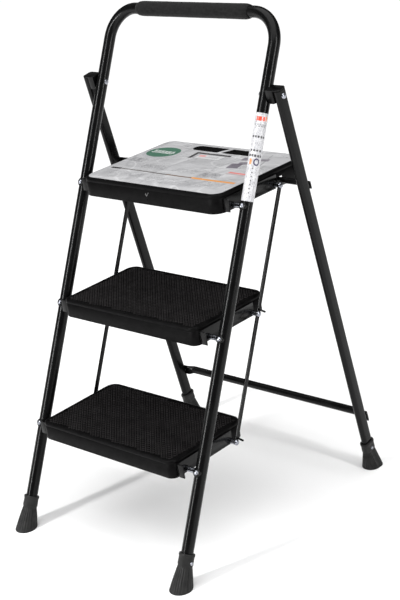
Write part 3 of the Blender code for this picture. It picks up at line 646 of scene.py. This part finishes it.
def tube_mesh(pairs, radius, count=48):
    """Open tube that follows a line in the plane of the front frame."""
    out_of_plane = SIDE.cross(RAIL_UP)
    rings = []
    for index, (x, along) in enumerate(pairs):
        before = pairs[max(index - 1, 0)]
        after = pairs[min(index + 1, len(pairs) - 1)]
        heading = atan2(after[1] - before[1], after[0] - before[0])
        sideways = SIDE * -sin(heading) + RAIL_UP * cos(heading)
        centre = FRONT_FOOT + SIDE * x + RAIL_UP * along
        rings.append(ring(centre, sideways, out_of_plane, stadium(radius, 0, count)))
    return loft(rings, cap_start=False, cap_end=False)


def make_front_tube():
    tools = []
    for _, side in BOTH:
        for point in PIVOTS.values():
            axis = point + SIDE * (side * RAIL_X)
            tools.append(("UNION", lathe(BOSS_PROFILE, axis, -RAIL_BACK)))
            tools.append(cut(rod(axis - RAIL_BACK * 0.006, axis - RAIL_BACK * 0.02, 0.0026)))
            tools.append(drill(point, side, RAIL_INNER - OVERRUN, RAIL_X))
        tools.append(drill(APEX, side, RAIL_INNER - OVERRUN, RAIL_OUTER + OVERRUN))
        screw_at = FRONT_FOOT + RAIL_UP * FRONT_SCREW_UP
        tools.append(drill(screw_at, side, RAIL_X, RAIL_OUTER + OVERRUN, SCREW_HOLE_RADIUS))
    mesh = tube_mesh(frame_path(), RAIL_RADIUS)
    stand_in("front_frame_tube", mesh, BLACK, "front_frame", "black_paint", tools, wall=TUBE_WALL)


def make_grip():
    """Foam sleeve with soft, slightly uneven ends."""
    low, high = GRIP_BOX
    length = high.x - low.x
    outer = (high.z - low.z) / 2
    bore = RAIL_RADIUS + GRIP_SLACK
    profile = [(bore, 0), (bore + 0.0006, 0.0)]
    steps = 60
    for index in range(steps + 1):
        along = length * index / steps
        end = min(along, length - along)
        swell = min(1.0, end / 0.013)
        radius = bore + 0.0012 + (outer - bore - 0.0013) * sin(pi / 2 * swell) ** 0.8
        radius -= 0.00018 * (1 + noise.noise((along * 55, 0.4, 0.2)))
        profile.append((radius, min(max(along, 0.0003), length - 0.0003)))
    profile += [(bore + 0.0006, length), (bore, length)]
    mesh = lathe(profile, Vector((low.x, TOP_BAR.y, TOP_BAR.z)), SIDE, 56, closed=True)
    obj = stand_in("hand_grip", mesh, FOAM, "front_frame", "foam_grip", sharp=60)


def make_label():
    """Thin film wrapped round the right rail."""
    low, high = LABEL_LOW / RAIL_UP.z, LABEL_HIGH / RAIL_UP.z
    foot = FRONT_FOOT + SIDE * RAIL_X
    inner = RAIL_RADIUS + 0.00015
    rings = []
    for step in range(33):
        along = low + (high - low) * step / 32
        points = []
        for index in range(55):
            angle = radians(-225 + 5 * index)
            lift = 0.00012 * noise.noise((angle * 2.0, along * 40, 1.7))
            radius = inner + 0.0003 + max(lift, -0.0001)
            points.append((radius * cos(angle), radius * sin(angle)))
        inside = [radians(45 - 5 * index) for index in range(55)]
        points += [(inner * cos(angle), inner * sin(angle)) for angle in inside]
        rings.append(ring(foot + RAIL_UP * along, SIDE, RAIL_BACK, points))
    paper = label_paint(high)
    stand_in("rail_label", loft(rings), paper, "front_frame", "label_film", sharp=50)


def tray_box(step):
    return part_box("platform_deck" if step == "platform" else f"{step}_tread")


def make_pivot(step, label, side):
    """Collared pin that a step hangs on, and the domed bolt that holds it in the rail."""
    point = PIVOTS[step]
    inner = tray_box(step)[1].x - SKIRT
    near = inner + SKIRT + GAP + PLATE + GAP
    far = RAIL_INNER - GAP
    end = RAIL_X + 0.004
    profile = [
        (0, end),
        (PIN_RADIUS * 0.8, end),
        (PIN_RADIUS, end - 0.0006),
        (PIN_RADIUS, far),
        (COLLAR_RADIUS - 0.0005, far),
        (COLLAR_RADIUS, far - 0.0005),
        (COLLAR_RADIUS, near + 0.0005),
        (COLLAR_RADIUS - 0.0005, near),
        (PIN_RADIUS, near),
    ]
    profile += closed_end(inner)
    cross_piece(f"{step}_pivot_pin_{label}", "front_frame", point, side, profile)
    profile = dome(BOSS_FACE + GAP, *BOLT_HEAD)
    profile += [(BOLT_RADIUS, BOSS_FACE + GAP), (BOLT_RADIUS, PIN_RADIUS + GAP)]
    profile.append((0, PIN_RADIUS + GAP))
    mesh = lathe(profile, point + SIDE * (side * RAIL_X), -RAIL_BACK)
    stand_in(f"{step}_front_bolt_{label}", mesh, STEEL, "front_frame", "bright_steel")


# Boots ------------

FLUTES = 22
SCREW_HEAD_RADIUS = 0.0036
FRONT_SCREW_UP = 0.0525
REAR_SCREW_UP = 0.049
FRONT_BOOT = ((RAIL_RADIUS, 0.0), (0.0233, 0.0), 0.069, TUBE_START, FRONT_SCREW_UP)
REAR_BOOT = ((LEG_RADIUS, LEG_FLAT), (0.0199, 0.0034), 0.064, LEG_START, REAR_SCREW_UP)
BOOTS = {
    "front": (FRONT_FOOT, RAIL_X, RAIL_UP, RAIL_BACK, *FRONT_BOOT),
    "rear": (REAR_FOOT, LEG_X, LEG_UP, LEG_BACK, *REAR_BOOT),
}


def boot_rings(foot, up, back, tube, base, length, flutes):
    """Fluted cone under a plain collar with a narrow lip."""
    radius, flat = tube
    base_radius, base_flat = base
    count = 144
    rings = []
    steps = [(0.0, 1.0, 0.0, 0.0, 1.0), (0.0, 1.0, 0.0, 0.3, 1.0)]
    for index in range(15):
        share = 0.02 + 0.64 * index / 14
        steps.append((share, 1 - index / 14, 0.0, 1.0 if index < 13 else 0.4, 1 - index / 14))
    collar = [(0.68, 0.0006), (0.7, 0.001), (0.92, 0.0008)]
    collar += [(0.935, 0.0016), (0.985, 0.0016), (1.0, 0.001)]
    steps += [(share, 0.0, extra, 0.0, 0.0) for share, extra in collar]
    for number, (share, flare, extra, depth, level) in enumerate(steps):
        inset = 0.0008 if number == 0 else 0.0
        along = (back * (1 - level) + LEVEL * level).normalized()
        rim_radius = (radius + 0.0024 + extra) * (1 - flare) + base_radius * flare - inset
        rim_flat = flat * (1 - flare) + base_flat * flare
        outline = []
        for index, (x, y) in enumerate(stadium(rim_radius, rim_flat, count)):
            wave = abs(sin(flutes * pi * (index + 0.5) / count))
            groove = 0.0013 * depth * (1 - wave) ** 2.2
            scale = 1 - groove / hypot(x, y)
            outline.append((x * scale, y * scale))
        lift = 0.0006 if number == 1 else 0.0
        rings.append(ring(foot + up * (share * length + lift), SIDE, along, outline))
    return rings


def make_boot(which, label, side):
    """Rubber boot on a tube's end, and the screw in its outer side."""
    middle, x, up, back, tube, base, length, start, screw_up = BOOTS[which]
    body = f"{which}_frame"
    foot = middle + SIDE * (side * x)
    bore = stadium(tube[0] + 0.00025, tube[1])
    hole = [ring(foot + up * along, SIDE, back, bore) for along in (start - GAP, length + 0.01)]
    screw_at = foot + up * screw_up
    tools = [cut(loft(hole)), drill(screw_at, side, x, x + tube[0] + 0.01, SCREW_HOLE_RADIUS)]
    rings = boot_rings(foot, up, back, tube, base, length, FLUTES)
    stand_in(f"{which}_boot_{label}", loft(rings), RUBBER, body, "boot_rubber", tools, sharp=55)
    surface = x + tube[0] + 0.0032
    profile = screw_head(surface, SCREW_HEAD_RADIUS)
    profile += [(0.0018, surface + GAP), (0.0018, surface - 0.006), (0, surface - 0.008)]
    cross_piece(f"{which}_boot_screw_{label}", body, screw_at, side, profile)


# Rear frame ------------

UPPER_DOWN = 0.1971
LOWER_DOWN = 0.7484
LEG_TOP = (APEX - REAR_FOOT).length + 0.0115
CAP_DEPTH = 0.005
BAR_FLAT_X = 0.254


def make_leg(label, side):
    """Flat-sided rear leg, and the plastic cap in its top end."""
    foot = REAR_FOOT + SIDE * (side * LEG_X)
    outline = stadium(LEG_RADIUS, LEG_FLAT)
    along = (LEG_START, 0.3, 0.6, LEG_TOP)
    rings = [ring(foot + LEG_UP * place, SIDE, LEG_BACK, outline) for place in along]
    tools = [drill(APEX, side, LEG_INNER - OVERRUN, LEG_OUTER + OVERRUN)]
    for down in (UPPER_DOWN, LOWER_DOWN):
        start = APEX - LEG_UP * down + SIDE * (side * LEG_X)
        tools.append(cut(rod(start, start + LEG_BACK * (LEG_DEPTH + OVERRUN), HOLE_RADIUS)))
    screw_at = REAR_FOOT + LEG_UP * REAR_SCREW_UP
    tools.append(drill(screw_at, side, LEG_X, LEG_OUTER + OVERRUN, SCREW_HOLE_RADIUS))
    mesh = loft(rings, cap_start=False, cap_end=False)
    stand_in(f"rear_leg_{label}", mesh, BLACK, "rear_frame", "black_paint", tools, wall=TUBE_WALL)

    plug = stadium(LEG_RADIUS - TUBE_WALL - GAP, LEG_FLAT)
    rounded = stadium(LEG_RADIUS - 0.0004, LEG_FLAT)
    steps = ((-CAP_DEPTH, plug), (GAP, plug), (GAP, outline), (0.0012, outline), (0.0015, rounded))
    rings = [ring(foot + LEG_UP * (LEG_TOP + up), SIDE, LEG_BACK, shape) for up, shape in steps]
    stand_in(f"rear_leg_cap_{label}", loft(rings), CAP, "rear_frame", "step_plastic")


def make_hinge_bracket(label, side):
    """Steel channel between rail and leg, with a top plate over the leg's end."""
    inner = RAIL_OUTER + GAP
    outer = LEG_INNER - GAP
    under = 0.0133
    high = under + PLATE
    low = -0.0125

    def corner(x, along, up):
        return APEX + SIDE * (side * x) + LEG_BACK * along + LEG_UP * up

    def block(outline, up_low, up_high):
        return loft([[corner(x, along, up) for x, along in outline] for up in (up_low, up_high)])

    plate = [(inner, -LEG_DEPTH)]
    for index in range(25):
        angle = radians(-90 + 7.5 * index)
        shift = LEG_FLAT if angle > 0 else -LEG_FLAT
        plate.append((LEG_X + LEG_RADIUS * cos(angle), LEG_RADIUS * sin(angle) + shift))
    plate.append((inner, LEG_DEPTH))
    leg_room = (
        (0.248, -0.02),
        (outer, -0.0085),
        (outer, 0.02),
        (LEG_OUTER + 0.02, 0.02),
        (LEG_OUTER + 0.02, -0.02),
    )
    cavity = (
        (inner + PLATE, -0.011),
        (0.247, -0.011),
        (outer - PLATE, -0.0075),
        (outer - PLATE, 0.02),
        (inner + PLATE, 0.02),
    )
    corners = ((-0.004, -0.004), (0.009, -0.004), (-0.004, 0.009))
    cut_off = [(inner + x, low + up) for x, up in corners]
    ends = (-LEG_DEPTH - 0.01, LEG_DEPTH + 0.01)
    tools = [
        cut(block(leg_room, low - 0.01, under)),
        cut(block(cavity, low - 0.01, under)),
        cut(loft([[corner(x, along, up) for x, up in cut_off] for along in ends])),
        drill(APEX, side, inner - OVERRUN, outer + OVERRUN),
    ]
    mesh = block(plate, low, high)
    name = f"hinge_bracket_{label}"
    stand_in(name, mesh, BLACK, "rear_frame", "black_paint", tools, bevel=0.0006)


def make_crossbar(height, down, radius):
    """Round bar with flattened ends, riveted to the back of both legs."""
    name = f"{height}_crossbar"
    point = APEX - LEG_UP * down
    thin = 0.0019
    flat = pi / 2 * (radius - thin)
    round_at = LEG_DEPTH + GAP + radius
    flat_at = LEG_DEPTH + GAP + thin
    half = [(0.2672, 1.0), (BAR_FLAT_X, 1.0)]
    for index in range(1, 8):
        share = index / 8
        half.append((BAR_FLAT_X - 0.02 * share, 0.5 + 0.5 * cos(pi * share)))
    half += [(0.234, 0.0), (0.12, 0.0)]
    stations = half + [(-x, share) for x, share in reversed(half)]
    rings = []
    for x, share in stations:
        centre = point + SIDE * x + LEG_BACK * (round_at + share * (flat_at - round_at))
        outline = stadium(radius + share * (thin - radius), share * flat, 32)
        rings.append(ring(centre, LEG_BACK, LEG_UP, outline))
    tools = []
    for _, side in BOTH:
        start = point + SIDE * (side * LEG_X) + LEG_BACK * LEG_DEPTH
        tools.append(cut(rod(start, start + LEG_BACK * 0.012, HOLE_RADIUS)))
    mesh = loft(rings, cap_start=False, cap_end=False)
    stand_in(name, mesh, BLACK, "rear_frame", "black_paint", tools, wall=TUBE_WALL)
    for label, side in BOTH:
        outer = LEG_DEPTH + GAP + 2 * thin
        profile = dome(outer + GAP, HEAD_RADIUS * 0.85, 0.0023)
        profile += [(PIN_RADIUS, outer + GAP), (PIN_RADIUS, LEG_DEPTH - 0.006)]
        profile.append((0, LEG_DEPTH - 0.0065))
        mesh = lathe(profile, point + SIDE * (side * LEG_X), LEG_BACK)
        stand_in(f"{name}_rivet_{label}", mesh, STEEL, "rear_frame", "bright_steel")


# Steps ------------

BRACKET_FLANGE_X = 0.204
TREAD_CORNER = 0.016
DECK_CORNER = 0.026
REAR_CORNER = 0.022
TREAD_RECESS = 0.0017
# How far in from the side, and how far down from the top, a step's rim runs.
RIM = (
    (0.0002, 0.009),
    (0.0009, 0.0084),
    (0.0009, 0.0078),
    (0.0001, 0.007),
    (0, 0.0045),
    (0.0004, 0.0026),
    (0.0015, 0.0009),
    (0.0032, 0.0001),
    (0.0042, 0),
)
BUMP_HEIGHT = 0.0015
DIAGONAL = 0.70711
SLOT_CENTRE_X = 0.0465
SLOT_HALF_LENGTH = 0.04
SLOT_HALF_WIDTH = 0.0135
SLOT_FROM_REAR = 0.0305
MARK_DOWN = 0.0165
LINK_END = 0.0055
LINK_WAIST = 0.0045
LINK_NECK = 0.006


def step_outline(box, corner, inset):
    low, high = box
    rear = REAR_CORNER - inset
    return rounded_outline(high.x - inset, low.y + inset, high.y - inset, corner - inset, rear)


def shell(box, corner, recess):
    """Closed tray: skirt, rounded rim, and a top that is set down by the recess."""
    low, high = box
    top = high.z
    steps = [
        (0.0062, top - 0.004 - recess),
        (0.0034, top - 0.006 - recess),
        (0.003, low.z + 0.0006),
        (0.0026, low.z),
        (0.0006, low.z),
        (0.0002, low.z + 0.0006),
    ]
    steps += [(inset, top - down) for inset, down in RIM]
    if recess:
        steps += [(0.0058, top - 0.0002), (0.007, top - recess * 0.6), (0.0078, top - recess)]
    rings = []
    for inset, height in steps:
        rings.append([Vector((x, y, height)) for x, y in step_outline(box, corner, inset)])
    return loft(rings)


def bump_field(name, box, corner, floor_z, height):
    """Raised lozenges in alternate diagonal directions, one mesh for a tread."""
    low, high = box
    margin = 0.01
    along, across = 0.0082, 0.005
    verts = []
    faces = []
    reach = (high.x - low.x + high.y - low.y) / 2
    rows = int(reach / across)
    columns = int(reach / along)
    centre = (low + high) / 2
    base = ((-1.0, 0.0), (-0.5, -1.0), (0.5, -1.0), (1.0, 0.0), (0.5, 1.0), (-0.5, 1.0))
    for row in range(-rows, rows + 1):
        for column in range(-columns, columns + 1):
            rib = row % 2 == 0
            u = (column + (0.0 if rib else 0.5)) * along
            v = row * across
            x = centre.x + (u + v) * DIAGONAL
            y = centre.y + (v - u) * DIAGONAL
            edge_x = high.x - margin - abs(x - centre.x)
            edge_y = min(y - low.y, high.y - y) - margin
            if min(edge_x, edge_y) < 0:
                continue
            short = (REAR_CORNER if y > centre.y else corner) - margin
            if short > 0 and edge_x < short and edge_y < short:
                if hypot(short - edge_x, short - edge_y) > short:
                    continue
            angle = -pi / 4 if rib else pi / 4
            long_half, wide_half = (0.004, 0.0013) if rib else (0.003, 0.001)
            start = len(verts)
            for scale, z in ((1.0, floor_z - 0.0002), (0.62, floor_z + height)):
                for a, b in base:
                    du = a * long_half * (scale if scale == 1.0 else 0.8)
                    dv = b * wide_half * (scale if scale == 1.0 else 0.45)
                    px = x + du * cos(angle) - dv * sin(angle)
                    py = y + du * sin(angle) + dv * cos(angle)
                    verts.append((px, py, z))
            faces.append([start + i for i in reversed(range(6))])
            faces.append([start + 6 + i for i in range(6)])
            for i in range(6):
                j = (i + 1) % 6
                faces.append([start + i, start + j, start + 6 + j, start + 6 + i])
    return plain_mesh(name, verts, faces)


def step_tools(box, pivot):
    half = box[1].x
    tools = []
    for _, side in BOTH:
        for point in (pivot, pivot + LINK_OFFSET):
            tools.append(drill(point, side, half - 0.008, half + 0.003))
    return tools


def make_fittings(step):
    """Side brackets of a step, with their pivot pins, front bolts and link rivets."""
    pivot = PIVOTS[step]
    body = BODIES[step]
    half = tray_box(step)[1].x
    inner = half + GAP
    outer = inner + PLATE
    for label, side in BOTH:
        outline = (
            (inner, -0.025),
            (BRACKET_FLANGE_X, -0.025),
            (BRACKET_FLANGE_X, -0.025 + PLATE),
            (outer, -0.025 + PLATE),
            (outer, 0.1315),
            (inner, 0.1315),
        )
        points = [(side * x, pivot.y + y) for x, y in outline]
        tools = []
        for point in (pivot, pivot + LINK_OFFSET):
            tools.append(drill(point, side, inner - 0.003, outer + 0.003))
        mesh = prism(points, pivot.z - 0.0065, pivot.z + 0.02)
        stand_in(f"{step}_bracket_{label}", mesh, BLACK, body, "black_paint", tools, bevel=0.0004)
        make_pivot(step, label, side)
        shoulder = (outer + GAP, LINK_X - LINK_HALF - GAP)
        profile = rivet(half - SKIRT, LINK_X + LINK_HALF, shoulder)
        cross_piece(f"{step}_link_rivet_{label}", body, pivot + LINK_OFFSET, side, profile)


def make_tread(step):
    name = f"{step}_tread"
    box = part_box(name)
    body = BODIES[step]
    mesh = shell(box, TREAD_CORNER, TREAD_RECESS)
    stand_in(name, mesh, TREAD, body, "step_plastic", step_tools(box, PIVOTS[step]), sharp=50)
    mesh = bump_field(name + "_grip", box, TREAD_CORNER, box[1].z - TREAD_RECESS, BUMP_HEIGHT)
    # Grip ridges in the lighter plastic: painted highlight on the raised ridges.
    settle(piece(name + "_grip", mesh, RIDGE_HIGHLIGHT, sharp=30), body)
    make_fittings(step)


def slots(margin):
    """Outlines of the two hand slots, grown by a margin: round outer ends, slanted inner ends."""
    centre_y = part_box("platform_deck")[1].y - SLOT_FROM_REAR
    depth = SLOT_HALF_WIDTH + margin
    for _, side in BOTH:
        far = SLOT_CENTRE_X + SLOT_HALF_LENGTH + margin
        near = SLOT_CENTRE_X - SLOT_HALF_LENGTH - margin
        points = [(side * near - 0.006, -depth), (side * near + 0.006, depth)]
        for index in range(17):
            angle = radians(90 - 11.25 * index)
            points.append((side * (far - depth + depth * cos(angle)), depth * sin(angle)))
        yield [(x, centre_y + y) for x, y in points]


def fascia_mark(box):
    """Small raised tick in the middle of the platform's front skirt."""
    y = box[0].y + 0.0002
    z = box[1].z - MARK_DOWN
    parts = [
        [(-0.0042, z + 0.0006), (-0.0028, z + 0.002), (0.0000, z - 0.0026), (-0.0006, z - 0.0048)],
        [(-0.0006, z - 0.0048), (0.0000, z - 0.0026), (0.0052, z + 0.0046), (0.0062, z + 0.0036)],
    ]
    verts = []
    faces = []
    for outline in parts:
        start = len(verts)
        for depth in (0.0, -0.0002):
            verts += [(x, y + depth, height) for x, height in outline]
        count = len(outline)
        faces.append([start + i for i in range(count)])
        faces.append([start + count + i for i in reversed(range(count))])
        for i in range(count):
            j = (i + 1) % count
            faces.append([start + i, start + count + i, start + count + j, start + j])
    return plain_mesh("platform_tick", verts, faces)


def make_platform():
    """Deck with its hand slots, skirt notches, front mark and the saddles under it."""
    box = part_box("platform_deck")
    low, high = box
    pivot = PIVOTS["platform"]
    tools = step_tools(box, pivot)
    for outline in slots(0):
        tools.append(cut(prism(outline, high.z - 0.01, high.z + 0.01)))
    notch = ((0.1275, -0.014), (0.139, 0.011), (0.1545, 0.011), (0.1545, -0.014))
    points = [(pivot.y + y, pivot.z + z) for y, z in notch]
    for _, side in BOTH:
        ends = sorted((side * (high.x - 0.006), side * (high.x + 0.003)))
        tools.append(cut(side_prism(points, *ends)))
    for offset in (0.0096, -0.0106):
        spot = Vector((0, low.y, high.z - MARK_DOWN + offset))
        tools.append(cut(rod(spot + LEVEL * -0.002, spot + LEVEL * 0.0012, 0.0014)))
    mesh = shell(box, DECK_CORNER, 0.0)
    stand_in("platform_deck", mesh, TREAD, "platform", "step_plastic", tools, sharp=50)
    tick_paint = plastic("tick_grey", (0.1, 0.1, 0.1), (0.16, 0.16, 0.16), 0.35, 0.5, 0.1)
    settle(piece("platform_tick", fascia_mark(box), tick_paint), "platform")
    for label, side in BOTH:
        under = high.z - 0.0046
        bar = APEX - LEG_UP * UPPER_DOWN + LEG_BACK * (LEG_DEPTH + GAP + UPPER_BAR_RADIUS)
        seat = bar.z + UPPER_BAR_RADIUS + GAP
        lip = bar.y + UPPER_BAR_RADIUS + GAP
        outline = (
            (bar.y - 0.008, seat),
            (lip, seat),
            (lip, bar.z - 0.003),
            (lip + 0.0025, bar.z - 0.003),
            (lip + 0.0025, under),
            (bar.y - 0.008, under),
        )
        mesh = side_prism(outline, *sorted((side * 0.135, side * 0.165)))
        stand_in(f"platform_saddle_{label}", mesh, CAP, "platform", "step_plastic", bevel=0.0004)
    make_fittings("platform")


def wrinkle(x, y):
    """Height of the film's folds at a point of the platform, from 0 to 1."""
    broad = noise.noise((x * 9 + 3.1, y * 11, 0.3))
    crease = 1 - abs(noise.noise((x * 16 + y * 7, y * 19 - x * 5, 2.2))) * 2.4
    fine = noise.noise((x * 48, y * 52, 5.0))
    return min(1.0, max(0.0, 0.3 + 0.45 * broad + 0.35 * max(crease, 0.0) ** 3 + 0.06 * fine))


def make_cover():
    """Printed film laid over the deck, cut out round the hand slots."""
    low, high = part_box("platform_cover")
    width = high.x - low.x
    length = high.y - low.y
    columns, rows = 110, 76
    step_x = (width + 0.01) / columns
    step_y = (length + 0.01) / rows
    verts = []
    for row in range(rows + 1):
        for column in range(columns + 1):
            verts.append((low.x - 0.005 + step_x * column, low.y - 0.005 + step_y * row, 0))
    faces = []
    for row in range(rows):
        for column in range(columns):
            start = row * (columns + 1) + column
            faces.append((start, start + 1, start + columns + 2, start + columns + 1))
    mesh = plain_mesh("cover", verts, faces)
    thick = 0.00025
    outline = rounded_outline(high.x, low.y, high.y, 0.0205, 0.0165)
    tools = [("INTERSECT", prism(outline, -0.01, 0.01))]
    tools += [cut(prism(points, -0.01, 0.01)) for points in slots(0.0012)]
    obj = piece("platform_cover_look", mesh, FILM, tools, wall=thick, sharp=60)
    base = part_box("platform_deck")[1].z + 0.00015 + thick
    for vertex in obj.data.vertices:
        x, y, z = vertex.co
        edge = min(x - low.x, high.x - x, y - low.y, high.y - y)
        calm = min(1.0, max(0.0, edge / 0.012)) * 0.8 + 0.2
        vertex.co.z = base + z + 0.0011 * wrinkle(x, y) * calm
    obj.data.update()
    settle(obj, "platform", "platform_cover")


def make_link(label, side):
    """Flat bar with round ends and two bent-out tabs, joining the three steps."""
    start = PIVOTS["lower"] + LINK_OFFSET
    length = (PIVOTS["platform"] - PIVOTS["lower"]).length
    pairs = []
    for along, begin, way in ((length, 0, -1), (0, 180, 1)):
        for index in range(17):
            angle = radians(begin + 11.25 * index)
            pairs.append((LINK_END * cos(angle), along + LINK_END * sin(angle)))
        pairs.append((way * LINK_WAIST, along + way * LINK_NECK))
        pairs.append((way * LINK_WAIST, LINK_NECK if begin == 0 else length - LINK_NECK))
    ends = [side * (LINK_X + offset * LINK_HALF) for offset in (-1, 1)]
    rings = [ring(start + SIDE * x, RAIL_BACK, RAIL_UP, pairs) for x in ends]
    tools = []
    tip = SIDE * (side * 0.0153) - RAIL_UP * 0.0018
    profile = [
        (0.0021, 0),
        (0.0021, tip.length - 0.0008),
        (0.0017, tip.length - 0.0002),
        (0.0011, tip.length),
    ]
    for step in ("middle", "lower"):
        root = PIVOTS[step] + LINK_OFFSET + RAIL_BACK * 0.003 + RAIL_UP * 0.0082
        tools.append(("UNION", lathe(profile, root + SIDE * (side * LINK_X), tip.normalized(), 24)))
    for pivot in PIVOTS.values():
        tools.append(drill(pivot + LINK_OFFSET, side, LINK_X - OVERRUN, LINK_X + OVERRUN))
    body = f"link_{label}"
    stand_in(f"link_bar_{label}", loft(rings), BLACK, body, "black_paint", tools, bevel=0.0004)


# Studio ------------


def make_studio():
    """Pale floor, a wide sun for the sky, and two upright strip lamps."""
    scene = bpy.context.scene
    scene.view_settings.view_transform = "Standard"
    world = bpy.data.worlds.new("studio")
    scene.world = world
    world.use_nodes = True
    back = world.node_tree.nodes["Background"]
    back.inputs["Color"].default_value = (1, 1, 1, 1)
    back.inputs["Strength"].default_value = 0.1

    corners = [(-30, -30, 0), (30, -30, 0), (30, 30, 0), (-30, 30, 0)]
    mesh = plain_mesh("floor", corners, [(0, 1, 2, 3)])
    stage = bpy.data.objects.new("floor", mesh)
    scene.collection.objects.link(stage)
    s = Shader("pale_floor", (0.9, 0.9, 0.9), 0.9, specular=0.0)
    s.colour(s.mottle(s.noise(2.0, 3), (0.9, 0.9, 0.9), (0.92, 0.92, 0.92)))
    mesh.materials.append(s.material)

    def lamp(kind, name, spot, aim, power, size):
        data = bpy.data.lights.new(name, kind)
        if kind == "SUN":
            data.angle = radians(size)
        else:
            data.shape = "RECTANGLE"
            data.size, data.size_y = size
        data.energy = power
        obj = bpy.data.objects.new(name, data)
        obj.location = spot
        obj.rotation_euler = (Vector(aim) - Vector(spot)).to_track_quat("-Z", "Y").to_euler()
        scene.collection.objects.link(obj)

    lamp("SUN", "sky", (0.3, -0.5, 4.0), (0, 0, 0), 3.2, 80)
    lamp("AREA", "key", (-1.1, -3.35, 1.9), (0, 0, 0.6), 120, (0.2, 2.4))
    lamp("AREA", "side", (3.45, -0.14, 1.9), (0, 0, 0.6), 60, (0.18, 2.4))


def make_camera():
    """Standpoint: a little above the platform, to the front right."""
    data = bpy.data.cameras.new("camera")
    data.sensor_width = 36
    data.lens = 87.2
    data.shift_x = -0.0086
    data.shift_y = -0.1
    obj = bpy.data.objects.new("camera", data)
    azimuth, rise, roll = radians(44.9), radians(18.95), radians(-8.14)
    right = Vector((cos(azimuth), sin(azimuth), 0))
    back = Vector((sin(azimuth) * cos(rise), -cos(azimuth) * cos(rise), sin(rise)))
    up = back.cross(right)
    across = right * cos(roll) + up * sin(roll)
    upward = up * cos(roll) - right * sin(roll)
    turn = Matrix((across, upward, back)).transposed().to_4x4()
    obj.matrix_world = Matrix.Translation((2.0089, -1.8764, 1.5043)) @ turn
    bpy.context.scene.collection.objects.link(obj)
    bpy.context.scene.camera = obj


# Assembly ------------

make_front_tube()
make_grip()
make_label()
for label, side in BOTH:
    make_hinge_bracket(label, side)
    cross_piece(f"apex_pin_{label}", "front_frame", APEX, side, rivet(RAIL_INNER, LEG_OUTER))
    make_boot("front", label, side)
    make_leg(label, side)
    make_boot("rear", label, side)
    make_link(label, side)
make_crossbar("upper", UPPER_DOWN, UPPER_BAR_RADIUS)
make_crossbar("lower", LOWER_DOWN, LOWER_BAR_RADIUS)
make_platform()
make_cover()
make_tread("middle")
make_tread("lower")
make_studio()
make_camera()
